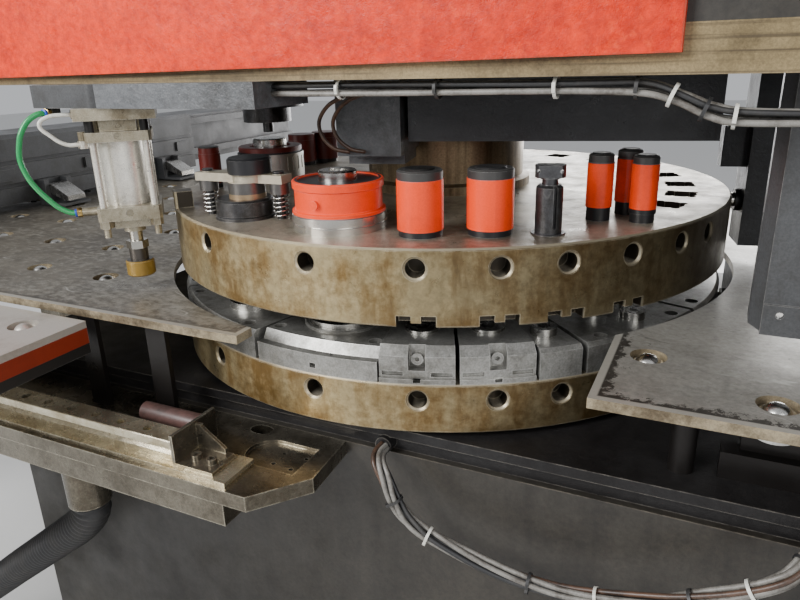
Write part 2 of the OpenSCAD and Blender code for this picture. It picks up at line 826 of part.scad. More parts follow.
// Guide of a covered tool: seat in the bore, base ring, cover and cap ring
module covered_guide(bore, cover, height, head, base_h = 8, cap_h = 12) {
    z1 = upper_z1 + height;
    difference() {
        rotate_extrude() polygon([[0, guide_z], [bore, guide_z], [bore, upper_z1],
            [cover - 1.5, upper_z1], [cover - 1.5, upper_z1 + base_h],
            [cover, upper_z1 + base_h], [cover, z1 - cap_h], [cover - 0.8, z1 - cap_h],
            [cover - 0.8, z1 - 2], [cover - 2.8, z1], [0, z1]]);
        translate([0, 0, guide_z - 1]) cylinder(r = stem_r + run, h = 400);
        translate([0, 0, z1 - punch_travel - 16]) cylinder(r = head + near, h = 400);
    }
}

// Punch of a covered tool: striking head, stem and cutting tip
module covered_punch(height, head, tip) {
    z1 = upper_z1 + height + 1.5;
    rotate_extrude() polygon([[0, tip_z], [min(tip, stem_r), tip_z],
        [min(tip, stem_r), guide_z + 2], [stem_r, guide_z + 4], [stem_r, z1 - 14],
        [head, z1 - 14], [head, z1 - 1.5], [head - 1.5, z1], [0, z1]]);
}

module b_tool_guides() {
    color([0.90, 0.25, 0.12]) for (a = [b1_a, b2_a]) at(a, pitch_r)
        covered_guide(bore_b, cover_b, tool_b_h, head_b);
    // Tools at the back and at the left keep their heads, as one piece each
    color([0.45, 0.08, 0.06]) {
        for (a = rear_angles) at(a, pitch_r) closed_tool(bore_b, cover_b, tool_b_h - 18);
        at(left_a, left_pitch_r) closed_tool(bore_a, bore_a + 2.5, tool_b_h - 10);
    }
}

module closed_tool(bore, r, height) {
    z1 = upper_z1 + height;
    rotate_extrude() polygon([[0, guide_z], [bore, guide_z], [bore, upper_z1],
        [bore + 2, upper_z1], [bore + 2, upper_z1 + 8], [r, upper_z1 + 8], [r, z1 - 12],
        [r - 1, z1 - 12], [r - 1, z1 - 1], [r - 2, z1], [0, z1]]);
}

module b_punch(a) {
    color([0.15, 0.15, 0.16]) at(a, pitch_r) covered_punch(tool_b_h, head_b, tip_b);
}
module b1_punch() { b_punch(b1_a); }
module b2_punch() { b_punch(b2_a); }

module a_tool_guides() {
    color([0.90, 0.25, 0.12]) {
        for (a = [a1_a, a3_a]) at(a, a_pitch_r)
            covered_guide(bore_a, cover_a, tool_a_h, head_a, 18, 11);
        at(a2_a, a2_pitch_r) covered_guide(bore_a, cover_a, tool_a_h - 1.5, head_a, 12, 10);
    }
}

module a_punch(a, radius, height) {
    color([0.15, 0.15, 0.16]) at(a, radius) covered_punch(height, head_a, tip_a);
}
module a1_punch() { a_punch(a1_a, a_pitch_r, tool_a_h); }
module a2_punch() { a_punch(a2_a, a2_pitch_r, tool_a_h - 1.5); }
module a3_punch() { a_punch(a3_a, a_pitch_r, tool_a_h); }

// Bare steel tool with a T-shaped head; its whole body slides in a flush sleeve
t_body_h = 62;
t_neck = 9.5;
t_floor = guide_z + 14;
module t_tool_guide() {
    z1 = upper_z1 + 1.5;
    color([0.35, 0.35, 0.37]) at(t_a, t_pitch_r) difference() {
        rotate_extrude() polygon([[0, guide_z], [t_seat, guide_z], [t_seat, z1 - 0.8],
            [t_seat - 0.8, z1], [0, z1]]);
        translate([0, 0, t_floor]) cylinder(r = t_bore + run, h = 400);
        translate([0, 0, guide_z - 1]) cylinder(r = 10 + run, h = 400);
    }
}

module t_punch() {
    z = upper_z1 + t_body_h + t_neck;
    low = t_floor + punch_travel + 2;
    color([0.38, 0.38, 0.40]) at(t_a, t_pitch_r) {
        difference() {
            rotate_extrude() polygon([[0, low], [t_bore - 1, low], [t_bore, low + 1],
                [t_bore, upper_z1 + t_body_h - 3], [t_bore - 3, upper_z1 + t_body_h],
                [0, upper_z1 + t_body_h]]);
            translate([t_bore, 0, upper_z1 + 8]) block([-5, -2.5, 0], [5, 2.5, t_body_h]);
        }
        tube(10, 0, guide_z + 4, z + 1);
        tube(tip_t, 0, tip_z, guide_z + 4);
        rotate([0, 0, -27]) difference() {
            intersection() {
                tube(19, 0, z, z + 15);
                block([-13, -19, z], [13, 19, z + 15]);
            }
            for (s = [-1, 1]) translate([-20, s * 14, z + 8]) rotate([0, 90, 0])
                cylinder(r = 2.2, h = 40, $fn = 24);
        }
        tube(13, 0, z - 2, z);
    }
}

// Large covered tool in its steel clamp ring
module d_tool_guide() {
    ring_h = 22;
    ring = cover_d + 2.5;
    low = cover_d + 1.5;
    body = cover_d - 2.5;
    z0 = upper_z1 + ring_h;
    z1 = upper_z1 + tool_d_h;
    color([0.88, 0.24, 0.10]) at(d_a, d_pitch_r) difference() {
        union() {
            rotate_extrude($fn = 96) polygon([[0, guide_z], [bore_d, guide_z],
                [bore_d, upper_z1], [ring, upper_z1], [ring, upper_z1 + 9],
                [ring - 1, upper_z1 + 10], [ring, upper_z1 + 11], [ring, z0 - 1],
                [ring - 1, z0], [low, z0], [low, z0 + 4], [body, z0 + 6], [body, z1 - 12],
                [cover_d, z1 - 10], [cover_d, z1 - 1.5], [cover_d - 1.5, z1], [0, z1]]);
            // Boss of the oil nipple on the front
            translate([0, 0, upper_z1 + 40]) rotate([0, 90, 0]) cylinder(r = 6, h = body + 5);
        }
        translate([0, 0, guide_z - 1])
            cylinder(r = tip_d + run, h = z1 - 10 - guide_z + 1);
        translate([0, 0, guide_z]) cylinder(r = head_d + near, h = 400);
        translate([0, 0, z1 - 2]) cylinder(r = cover_d - 7, h = 20);
        // Slot in the clamp ring
        rotate([0, 0, -12]) block([cover_d - 1, -8, upper_z1 - 1], [cover_d + 5, 8, upper_z1 + 12]);
    }
}

module d_punch() {
    z1 = upper_z1 + tool_d_h + 11;
    color([0.62, 0.62, 0.62]) at(d_a, d_pitch_r) difference() {
        rotate_extrude() polygon([[0, tip_z], [tip_d, tip_z], [tip_d, z1 - 23],
            [head_d, z1 - 22], [head_d, z1 - 2], [head_d - 2, z1], [0, z1]]);
        translate([0, 0, z1 - 4]) cylinder(r = 12, h = 20);
    }
}

// Forming tool: round body with a guide pin on either side
module form_tool_guide() {
    ring = form_bore + 6.5;
    body = form_bore + 4;
    color([0.20, 0.20, 0.22]) at(form_a, form_pitch_r) {
        difference() {
            rotate_extrude() polygon([[0, guide_z], [form_bore, guide_z],
                [form_bore, upper_z1], [ring, upper_z1], [ring, upper_z1 + 4],
                [ring - 1, upper_z1 + 5], [body, upper_z1 + 6], [body, upper_z1 + 26],
                [body - 3, upper_z1 + 29], [0, upper_z1 + 29]]);
            form_offset() translate([0, 0, guide_z - 1]) cylinder(r = form_stem + run, h = 400);
        }
        form_posts() tube(6, 0, upper_z1, form_bar_z + 10 - form_travel);
    }
}

// The forming tool's stem and knob sit a little off its middle, along the bar
form_turn = 27;
module form_offset(times = 1) {
    rotate([0, 0, form_turn + 90]) translate([times * form_shift, 0, 0]) children();
}

// Both columns of the forming tool, along its bar
module form_posts() {
    rotate([0, 0, form_turn + 90]) for (s = [-1, 1])
        translate([s * post_dx, 0, 0]) children();
}

module form_punch() {
    bar_t = 12;
    bar_w = 28;
    z = form_bar_z;
    knob = upper_z1 + form_top;
    color([0.30, 0.28, 0.24]) at(form_a, form_pitch_r) difference() {
        union() {
            tube(tip_form, 0, tip_z, guide_z + 6);
            form_offset() tube(form_stem, 0, guide_z + 6, z + 1);
            rotate([0, 0, form_turn + 90]) block([-form_bar_len / 2, -bar_w / 2, z],
                [form_bar_len / 2, bar_w / 2, z + bar_t]);
            form_posts() tube(14, 0, upper_z1 + form_spring_h, z + 1);
            // Screw heads over the columns
            form_posts() tube(8, 0, z + bar_t, z + bar_t + 4);
            form_offset(2.3) rotate_extrude() polygon([[0, z + 1], [26, z + 1],
                [26, z + bar_t], [31, z + bar_t], [32, z + bar_t + 1], [32, knob - 3],
                [29, knob], [0, knob]]);
        }
        form_posts() translate([0, 0, upper_z1]) cylinder(r = 6 + run, h = z + 11 - upper_z1);
    }
}

// Coil springs round the guide pins
module form_springs() {
    turns = 5.5;
    wire = 2;
    coil_r = 11.3;
    steps = 12;
    rise = form_spring_h - wire - near;
    path = [for (i = [0:turns * steps]) let (t = i / (turns * steps))
        [coil_r * cos(360 * turns * t), coil_r * sin(360 * turns * t),
            upper_z1 + near / 2 + wire / 2 + rise * t]];
    color([0.55, 0.55, 0.55]) at(form_a, form_pitch_r) form_posts() swept(path, wire, 6);
}

// Large tool in the station under the ram
module ram_tool_guide() {
    z1 = upper_z1 + ram_tool_h - 14;
    ribs = 28;
    color([0.55, 0.55, 0.55]) at(ram_a, ram_pitch_r) difference() {
        rotate_extrude($fn = 96) polygon([[0, guide_z], [bore_d, guide_z],
            [bore_d, upper_z1], [63, upper_z1], [63, z1 - 12], [57, z1 - 12], [57, z1 - 9],
            [60, z1 - 9], [60, z1 - 1], [59, z1], [0, z1]]);
        translate([0, 0, guide_z - 1]) cylinder(r = tip_d + run, h = 400);
        for (i = [0:ribs - 1]) rotate([0, 0, 360 * i / ribs])
            block([61, -2.2, z1 - 42], [65, 2.2, z1 - 18]);
    }
}

module ram_tool_punch() {
    z1 = upper_z1 + ram_tool_h;
    color([0.62, 0.62, 0.63]) at(ram_a, ram_pitch_r)
        rotate_extrude() polygon([[0, tip_z], [tip_d, tip_z], [tip_d, z1 - 46],
            [head_ram, z1 - 44], [head_ram, z1 - 2], [head_ram - 2, z1], [0, z1]]);
}

// Ram

module ram_cylinder() {
    z0 = upper_deck_z1;
    color([0.12, 0.12, 0.12]) translate([ram_p[0], ram_p[1], 0]) difference() {
        union() {
            tube(guide_tube_r, 0, guide_tube_z, z0);
            tube(125, 0, z0, z0 + 30);
            tube(95, 0, z0 + 30, z0 + cyl_h);
            tube(108, 0, z0 + cyl_h, z0 + cyl_h + 35);
        }
        translate([0, 0, guide_tube_z - 1]) cylinder(r = ram_r + run, h = cyl_h + 60);
        for (i = [0:7]) rotate([0, 0, 45 * i + 22.5]) translate([110, 0, z0 + 18])
            cylinder(r = 9, h = 30, $fn = 24);
    }
}

module ram() {
    nose = 20;
    color([0.20, 0.19, 0.18]) translate([ram_p[0], ram_p[1], 0]) {
        tube(ram_r, 0, striker_z + nose, upper_deck_z1 + cyl_h - ram_travel - 20);
        tube(striker_r, 0, striker_z, striker_z + nose);
    }
}

// Tables

left_balls = [for (row = [0:5], j = [0:6])
    let (p = [grid_x0 + grid_skew * row - grid_dx * j, -387 + grid_dy * row])
    if (norm(p) > cutout_r + ball_hole_r + 12 && p[0] > -table_left + 60) p];

module ball_holes(places) {
    for (p = places) translate([p[0], p[1], table_z0 - 1])
        cylinder(r = ball_hole_r, h = table_t + 2, $fn = 48);
}

module left_table() {
    bar = [36, 8];
    color([0.42, 0.41, 0.39]) {
        difference() {
            union() {
                block([-table_left, -table_y, table_z0], [gap_left, table_y, pass_z]);
                block([gap_left - 1, 0, table_z0], [back_split - 1, table_y, pass_z]);
            }
            translate([0, 0, table_z0 - 1]) cylinder(r = cutout_r, h = table_t + 2, $fn = 192);
            ball_holes(left_balls);
        }
        // Flat bars that carry the table on the slide beds
        both_sides() for (x = [-252, -391, -880, -1400])
            translate([x - bar[0] / 2, -strut_y - bar[1] / 2, bed_z1])
                cube([bar[0], bar[1], table_z0 - bed_z1]);
    }
}

module right_table() {
    post_r = 15;
    color([0.42, 0.41, 0.39]) {
        difference() {
            union() {
                block([gap_right, -table_y, table_z0], [right_end, table_y, pass_z]);
                block([back_split, 0, table_z0], [gap_right + 1, table_y, pass_z]);
            }
            translate([0, 0, table_z0 - 1]) cylinder(r = cutout_r, h = table_t + 2, $fn = 192);
            ball_holes(right_balls);
        }
        for (p = [[460, -400], [780, -330], [560, 330], [780, 330]])
            translate([p[0], p[1], 0]) tube(post_r, 0, deck_z1, table_z0);
        // Dark box and foot rail that stiffen the table from below
        block([520, -390, deck_z1 + 34], [760, -300, table_z0]);
        block([500, -404, deck_z1], [640, -376, deck_z1 + 34]);
    }
}

module ball_transfers() {
    color([0.70, 0.70, 0.70]) for (p = concat(left_balls, right_balls))
        translate([p[0], p[1], 0]) {
            ball_z = pass_z + ball_up - ball_r;
            translate([0, 0, ball_z]) sphere(ball_r);
            difference() {
                tube(ball_hole_r - cup_gap, 0, pass_z - 8 - cup_h, pass_z - 8);
                translate([0, 0, ball_z - ball_r]) cylinder(r = ball_r + near, h = 60);
                translate([0, 0, pass_z - 11]) cylinder(r1 = ball_r + near, r2 = ball_hole_r - 3,
                    h = 4);
            }
        }
}

// Slide beds, rails and the moving cross slide

module bed_outline() {
    polygon([[bed_left, -bed_out], [-24, -bed_out], [bed_end + 7, -bed_out + 69],
        [bed_end, -bed_in], [bed_left, -bed_in]]);
}

module slide_beds() {
    beam_depth = 38;
    pocket_r = 33;
    socket_z = 55;
    color([0.30, 0.28, 0.25]) {
        difference() {
            union() {
                translate([0, 0, bed_z1 - bed_t]) linear_extrude(bed_t) bed_outline();
                bed_beam(beam_depth);
            }
            // Rounded recess with its four tapped holes
            translate([-56, -518, bed_z1 - 5]) cylinder(r = pocket_r, h = 10);
            block([-56, -518 - pocket_r, bed_z1 - 5], [4, -518 + pocket_r, bed_z1 + 5]);
            for (p = [[-40, -505], [-4, -505], [-40, -532], [-10, -535]])
                translate([p[0], p[1], bed_z1 - 15]) cylinder(r = 3, h = 20, $fn = 24);
            // Slotted hole near the frame
            for (x = [-110, -98]) translate([x, -470, bed_z1 - bed_t - 1])
                cylinder(r = 11, h = bed_t + 5, $fn = 32);
            block([-110, -481, bed_z1 - bed_t - 1], [-98, -459, bed_z1 + 5]);
        }
        // Spigot that holds the hose, and its socket on the leg
        translate([hose_path[0][0], hose_path[0][1], 0])
            tube(hose_d / 2 + 3, 0, hose_path[0][2], bed_z1 - bed_t - beam_depth);
        translate([bed_left + leg_w, hose_path[0][1], socket_z + 1])
            rotate([0, 90, 0]) cylinder(r = hose_d / 2 + 3 - near,
                h = hose_path[14][0] - bed_left - leg_w);
        mirror([0, 1, 0]) {
            translate([0, 0, bed_z1 - bed_t]) linear_extrude(bed_t) bed_outline();
            bed_beam(beam_depth);
        }
    }
}

// Beam under a bed, with the leg at its far end
module bed_beam(depth) {
    block([bed_left, -bed_out + 6, bed_z1 - bed_t - depth], [-66, -bed_in, bed_z1 - bed_t]);
    block([bed_left, -bed_out + 6, 0], [bed_left + leg_w, -bed_in, bed_z1 - bed_t - depth]);
}

// Ground way plates with the drilled rails on them
module linear_rails() {
    half = rail_w / 2;
    color([0.60, 0.58, 0.52]) both_sides() difference() {
        union() {
            translate([0, -rail_y, 0]) rotate([90, 0, 90]) translate([0, 0, bed_left])
                linear_extrude(rail_end - bed_left) polygon([
                    [-half, rail_z0], [half, rail_z0], [half, rail_z0 + 9],
                    [half - 4, rail_z0 + 13], [half, rail_z0 + 17], [half, rail_z1 - 1],
                    [half - 1, rail_z1], [-half + 1, rail_z1], [-half, rail_z1 - 1],
                    [-half, rail_z0 + 17], [-half + 4, rail_z0 + 13], [-half, rail_z0 + 9]]);
            block([bed_left, -rail_y - 32, bed_z1], [-60, -rail_y + 30, rail_z0]);
        }
        for (i = [0:12]) translate([-214 - 50 * i, -rail_y, rail_z1 - 14])
            cylinder(r = 7, h = 20, $fn = 32);
    }
}

// Bent stop bracket at the end of the front rail, with its buffer
module rail_stop() {
    x = rail_end + near;
    back = -rail_y + 60;
    color([0.22, 0.21, 0.20]) {
        difference() {
            union() {
                block([x, -rail_y - 26, rail_z0], [x + 66, -rail_y + 24, rail_z0 + 5]);
                block([x, -rail_y - 26, rail_z0], [x + 5, back, rail_z1 + 16]);
                translate([x, 0, 0]) block([0, -rail_y + 19, rail_z0],
                    [52, -rail_y + 24, rail_z1 + 12]);
            }
            for (p = [24, 50]) translate([x + p, -rail_y - 6, rail_z0 - 1])
                cylinder(r = 4.5, h = 10, $fn = 24);
            // Sloping top of the side wing
            translate([x + 18, -rail_y, rail_z1 + 16]) rotate([0, 35, 0])
                block([0, 0, -8], [90, 30, 60]);
        }
        for (p = [24, 50]) translate([x + p, -rail_y - 6, 0]) {
            tube(4.4, 0, rail_z0, rail_z0 + 5);
            difference() {
                tube(7, 0, rail_z0 + 5, rail_z0 + 13);
                translate([0, 0, rail_z0 + 8]) cylinder(r = 3.5, h = 10, $fn = 6);
            }
        }
    }
    color([0.25, 0.10, 0.09]) translate([x, back - 16, rail_z0 + 24]) rotate([0, -90, 0])
        cylinder(r = 14, h = 112);
}

module cross_slide() {
    web_z = rail_z1 + 30;
    top = wing_z1 - wing_t - wing_rim;
    color([0.20, 0.21, 0.22]) {
        // Box beam with a small opening in each closed end
        difference() {
            block([beam_x0, -beam_half, beam_z0], [beam_x0 + beam_w, beam_half, beam_z0 + beam_h]);
            block([beam_x0 + beam_wall, -beam_half + beam_wall, beam_z0 + beam_wall],
                [beam_x0 + beam_w - beam_wall, beam_half - beam_wall, beam_z0 + beam_h - beam_wall]);
            translate([beam_x0 + beam_w / 2, -beam_half - 1, beam_z0 + beam_h / 2])
                rotate([-90, 0, 0]) cylinder(r = 15, h = 2 * beam_half + 2);
        }
        both_sides() {
            along_y(-rail_y - saddle_t / 2, saddle_t) polygon([[beam_x0, web_z],
                [saddle_x1, web_z], [saddle_x1, top], [beam_x0 + beam_w, top],
                [beam_x0 + beam_w, beam_z0], [beam_x0, beam_z0]]);
            // Bearing blocks that straddle the rail
            for (x = [beam_x0, saddle_x1 - block_len]) difference() {
                block([x, -rail_y - 29, rail_z0 + 6], [x + block_len, -rail_y + 29, web_z]);
                block([x - 1, -rail_y - rail_w / 2 - near, rail_z0],
                    [x + block_len + 1, -rail_y + rail_w / 2 + near, rail_z1 + near]);
            }
        }
        // Rails of the carriage on the beam's face
        for (z = [beam_z0 + 22, beam_z0 + beam_h - 28])
            block([beam_x0 + beam_w, -beam_half, z], [carriage_x - near, beam_half, z + 20]);
    }
}

// Side tables that travel with the cross slide, in their orange frames
module wing_tables() {
    rim = 12;
    z1 = wing_z1 - wing_t;
    color([0.55, 0.54, 0.52]) both_sides() {
        difference() {
            block([wing_x0, -beam_half, z1], [wing_x1, -wing_y0, wing_z1]);
            for (x = [wing_x1 - 73, wing_x1 - 240, wing_x1 - 410, wing_x1 - 580],
                 y = [-580, -760, -940, -1120])
                translate([x, y, z1 - 1]) cylinder(r = ball_hole_r, h = wing_t + 2, $fn = 48);
        }
        difference() {
            block([wing_x0, -beam_half, z1 - wing_rim], [wing_x1, -wing_y0, z1]);
            block([wing_x0 + rim, -beam_half + rim, z1 - wing_rim - 1],
                [wing_x1 - rim, -rail_y - saddle_t / 2 - 10, z1 + 1]);
        }
        for (x = [wing_x1 - 73, wing_x1 - 240, wing_x1 - 410, wing_x1 - 580],
             y = [-580, -760, -940, -1120]) translate([x, y, 0]) wing_ball(z1);
    }
}

// Ball and cup as one piece in a side table
module wing_ball(z1) {
    tube(ball_hole_r, 0, z1 - 14, z1 + 1);
    translate([0, 0, wing_z1 + ball_up - ball_r]) sphere(ball_r);
}

// Carriage bar with its grooves, dogs and the fixed jaws
module carriage() {
    x0 = carriage_x;
    z0 = beam_z0 - 12;
    color([0.27, 0.28, 0.29]) {
        translate([x0, carriage_half, 0]) rotate([90, 0, 0]) linear_extrude(2 * carriage_half)
            polygon([[0, z0], [30, z0], [30, z0 + 40], [22, z0 + 40], [22, z0 + 52],
                [30, z0 + 52], [30, z0 + 96], [22, z0 + 96], [22, z0 + 108], [30, z0 + 108],
                [30, z0 + 160], [24, z0 + 170], [0, z0 + 170]]);
        for (y = [-520, -300, -60, 200, 360, 560])
            block([x0 + 30, y - 22, z0 + 60], [x0 + 36, y + 22, z0 + 88]);
        for (y = clamp_ys) {
            difference() {
                union() {
                    block([x0 + 30, y - 40, clamp_z0], [x0 + 60, y + 40, z0 + 50]);
                    block([x0 + 30, y - 40, clamp_z0], [x0 + 122, y + 40, clamp_z0 + lip_t]);
                }
                block([x0 + 35, y - 28, clamp_z0 + lip_t], [x0 + 80, y + 28, z0 + 60]);
            }
            translate([jaw_pivot[0], y - 40, jaw_pivot[1]]) rotate([-90, 0, 0])
                cylinder(r = jaw_pin_r, h = 80);
        }
    }
}

// Upper jaws, on pins that lie in one line
module clamp_jaws() {
    x0 = carriage_x;
    z0 = clamp_z0 + lip_t + mouth;
    color([0.50, 0.50, 0.50]) for (y = clamp_ys) difference() {
        along_y(y - 27, 54) polygon([[x0 + 42, jaw_pivot[1] - 12], [x0 + 64, jaw_pivot[1] - 14],
            [x0 + 98, z0 + 4], [x0 + 102, z0], [x0 + 120, z0], [x0 + 120, z0 + 12],
            [x0 + 66, jaw_pivot[1] + 12], [x0 + 42, jaw_pivot[1] + 12]]);
        translate([jaw_pivot[0], y - 40, jaw_pivot[1]]) rotate([-90, 0, 0])
            cylinder(r = jaw_pin_r + run, h = 80);
    }
}

// Hold-down

module hold_down_bracket() {
    turn_r = 18;
    left = hold_x - 97;
    right = hold_x + 30;
    front = hold_y - 62;
    color([0.36, 0.37, 0.38]) translate([0, 0, bracket_z0])
        linear_extrude(throat_z1 - bracket_z0) {
            translate([left, front]) square([right - turn_r - left, 120]);
            translate([left, front + turn_r]) square([right - left, 120 - turn_r]);
            translate([right - turn_r, front + turn_r]) circle(turn_r);
        }
    // Fitting of the green air tube
    end = green_path[12];
    color([0.65, 0.52, 0.30]) translate([end[0], end[1], 0])
        block([-7, 0, end[2] - 7], [7, 14, bracket_z0]);
}

module square_cap(z0, z1) {
    cut = cap_w * 0.05;
    h = cap_w / 2;
    translate([0, 0, z0]) linear_extrude(z1 - z0) polygon([[-h + cut, -h], [h - cut, -h],
        [h, -h + cut], [h, h - cut], [h - cut, h], [-h + cut, h], [-h, h - cut],
        [-h, -h + cut]]);
}

// The hold-down is turned about its own axis; a place in its turned frame
module hold_frame() {
    translate([hold_x, hold_y, 0]) rotate([0, 0, hold_turn]) children();
}
function hold_place(p) = let (x = p[0] - hold_x, y = p[1] - hold_y)
    [x * cos(hold_turn) + y * sin(hold_turn), y * cos(hold_turn) - x * sin(hold_turn), p[2]];

module hold_down_cylinder() {
    flange = 55;
    neck = cap_w * 0.28;
    rod_at = cap_w / 2 - 9.5;
    color([0.68, 0.68, 0.65]) hold_frame() difference() {
        union() {
            block([-flange, -flange, bracket_z0 - 17], [flange, flange, bracket_z0]);
            block([-neck, -neck, head_cap[1]], [neck, neck, bracket_z0 - 16]);
            square_cap(head_cap[0], head_cap[1]);
            tube(piston_r + 4, 0, low_cap[1], head_cap[0]);
            square_cap(low_cap[0], low_cap[1]);
            block([-neck, -neck, low_cap[0] - 15], [neck, neck, low_cap[0]]);
            tube(16, 0, low_cap[0] - 24, low_cap[0] - 15);
            // Tie rods with their nuts below and screw heads above
            for (x = [-rod_at, rod_at], y = [-rod_at, rod_at]) translate([x, y, 0]) {
                tube(5, 0, low_cap[0] - 25, head_cap[1]);
                translate([0, 0, low_cap[0] - 11]) cylinder(r = 9.2, h = 11, $fn = 6);
                tube(8, 0, head_cap[1], bracket_z0 - 18);
            }
            side_port(green_path[0], 45);
            side_port(white_path[9], 30);
            white_elbow();
        }
        translate([0, 0, low_cap[1]]) cylinder(r = piston_r, h = head_cap[0] - low_cap[1]);
        translate([0, 0, low_cap[0] - 30]) cylinder(r = 10 + run, h = 60);
        // Port plugs in the front of both caps
        for (z = [low_cap[0] + 11, head_cap[0] + 7]) translate([0, -cap_w / 2 - 1, z])
            rotate([-90, 0, 0]) cylinder(r = 6, h = 5, $fn = 32);
    }
}

// Push-in fitting on the left of the hold-down, from a tube's end inwards
module side_port(end, length) {
    translate(hold_place(end)) rotate([0, 90, 0]) cylinder(r = 6.5, h = length, $fn = 32);
}

module white_elbow() {
    p = hold_place(white_path[0]);
    translate(p) rotate([0, 90, 0]) cylinder(r = 5.5, h = 8, $fn = 32);
    translate([p[0] + 8, p[1], p[2] - 6]) cylinder(r = 6.5, h = 24, $fn = 32);
    translate([p[0] + 8, p[1], p[2] + 12]) rotate([0, 90, 0]) cylinder(r = 5.5, h = 30, $fn = 32);
}

module hold_down_rod() {
    nut = bracket_z0 - 215;
    piston = head_cap[0] - 26;
    color([0.62, 0.60, 0.56]) hold_frame() {
        tube(piston_r - run, 0, piston, piston + 20);
        tube(10, 0, pad_z0 + 30, piston);
        translate([0, 0, nut]) cylinder(r = 16.5, h = 12, $fn = 6);
        tube(14, 0, pad_z0 + 25, nut);
        rotate_extrude() polygon([[0, pad_z0], [19.5, pad_z0], [21.5, pad_z0 + 2],
            [21.5, pad_z0 + 23], [19.5, pad_z0 + 25], [0, pad_z0 + 25]]);
    }
}

// Index pins

pin_x = turret_r + 22;
pin_lift = 1.5;
module index_units() {
    width = 35;
    color([0.10, 0.10, 0.11]) rotate([0, 0, pin_a]) {
        difference() {
            union() {
                block([pin_x, -width, upper_z0 + 5], [pin_x + 60, width, throat_z1]);
                block([pin_x - 38, -14, upper_z1 + 32], [pin_x + 1, 14, upper_z1 + 98]);
                translate([pin_x - 8, 0, upper_index_z]) rotate([0, 90, 0])
                    cylinder(r = index_r + 6, h = 10);
            }
            pin_bore(upper_index_z);
        }
        difference() {
            union() {
                block([pin_x, -width, deck_z1], [pin_x + 60, width, table_z0 - 2]);
                translate([pin_x - 8, 0, lower_index_z]) rotate([0, 90, 0])
                    cylinder(r = index_r + 6, h = 10);
            }
            pin_bore(lower_index_z);
        }
    }
}

module pin_bore(z) {
    translate([pin_x - 20, 0, z]) rotate([0, 90, 0])
        cylinder(r = index_r - 0.5 + run, h = 90);
}

module index_pin(z) {
    tip = turret_r + pin_lift;
    color([0.65, 0.64, 0.60]) rotate([0, 0, pin_a]) translate([tip, 0, z])
        rotate([0, 90, 0]) {
            cylinder(r1 = index_r - 3, r2 = index_r - 0.5, h = 6);
            translate([0, 0, 6]) cylinder(r = index_r - 0.5, h = 90);
        }
}
module upper_index_pin() { index_pin(upper_index_z); }
module lower_index_pin() { index_pin(lower_index_z); }

// Folded sheet guard in front of the index units
module index_guard() {
    sheet = 4;
    low = upper_z0 + 6;
    left = turret_r + 32;
    front = -334;
    color([0.36, 0.37, 0.38]) {
        difference() {
            translate([0, 0, low]) linear_extrude(throat_z1 - low) polygon([
                [left + 12, front], [left + 150, front], [left + 150, front + sheet],
                [left + 12 + sheet, front + sheet], [left + sheet, front + 26],
                [left + sheet, front + 55], [left, front + 55], [left, front + 24]]);
            translate([left + 30, front - 1, low + 22]) rotate([-90, 0, 0])
                cylinder(r = 4, h = sheet + 2, $fn = 24);
        }
        difference() {
            block([left + 12, front - 3, low], [left + 150, front, low + 34]);
            translate([left + 30, front - 4, low + 22]) rotate([-90, 0, 0])
                cylinder(r = 4, h = sheet + 2, $fn = 24);
        }
        block([left + 12, front - 3, low - 3], [left + 150, front + 34, low]);
    }
}

// Cords

module air_tube_green() { color([0.10, 0.55, 0.25]) swept(green_path, green_d, 8); }
module air_tube_white() { color([0.85, 0.85, 0.83]) swept(white_path, white_d, 8); }
module wiring_harness() {
    color([0.25, 0.25, 0.25]) swept(harness_path, harness_d, 10, [0, 0.2, 1], true);
}
module vacuum_hose() {
    color([0.08, 0.08, 0.08]) swept(hose_path, hose_d, 12, [0, 1, 0], true);
}

// Cables clipped below the upper arm, with two leads to the sensor block
module cable_loom() {
    color([0.40, 0.39, 0.37]) {
        swept(loom_path, loom_d, 10);
        for (p = lead_paths) {
            swept(p, lead_d, 8, [0, 0.3, 1]);
            // Plug on the face of the sensor block
            translate([p[7][0], p[7][1], p[7][2]]) rotate([0, 0, beam_turn])
                block([-7, -7, -6], [7, plug_depth(p[7]), 6]);
        }
        // Clips that hold the loom up
        for (x = [20, 190, 330]) block([x - 5, loom_path[0][1] - 14, loom_path[0][2] + 8],
            [x + 5, loom_path[0][1] + 14, throat_z1]);
        // Connector block at the right end
        block([loom_path[8][0], -frame_y + 8, loom_path[8][2] - 16],
            [loom_path[8][0] + 46, -plate_in, throat_z1]);
    }
}
// From a lead's end to the sensor block's face, square to that face
function plug_depth(p) = block_front + p[0] * sin(beam_turn) - p[1] * cos(beam_turn);

side_plates();
base_plate();
lower_deck();
upper_deck();
arm_skin();
side_covers();
turret_beam();
bearing_housings();
spindle_bearings();
upper_turret();
upper_spindle();
lower_turret();
lower_spindle();
drive_shaft();
turret_motor();
drive_chains();
ram_cylinder();
ram();
b_tool_guides();
b1_punch();
b2_punch();
a_tool_guides();
a1_punch();
a2_punch();
a3_punch();
t_tool_guide();
t_punch();
d_tool_guide();
d_punch();
form_tool_guide();
form_punch();
form_springs();
ram_tool_guide();
ram_tool_punch();
die_holders();
d_die_holder();
b_die_holders();
dies();
left_table();
right_table();
ball_transfers();
wing_tables();
cross_slide();
carriage();
clamp_jaws();
hold_down_bracket();
hold_down_cylinder();
hold_down_rod();
index_units();
upper_index_pin();
lower_index_pin();
index_guard();
slide_beds();
linear_rails();
rail_stop();
air_tube_green();
air_tube_white();
wiring_harness();
vacuum_hose();
cable_loom();
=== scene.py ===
"""Looks of the turret punch press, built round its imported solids. Metres, Z up."""

import math

import bpy
from mathutils import Matrix, Vector


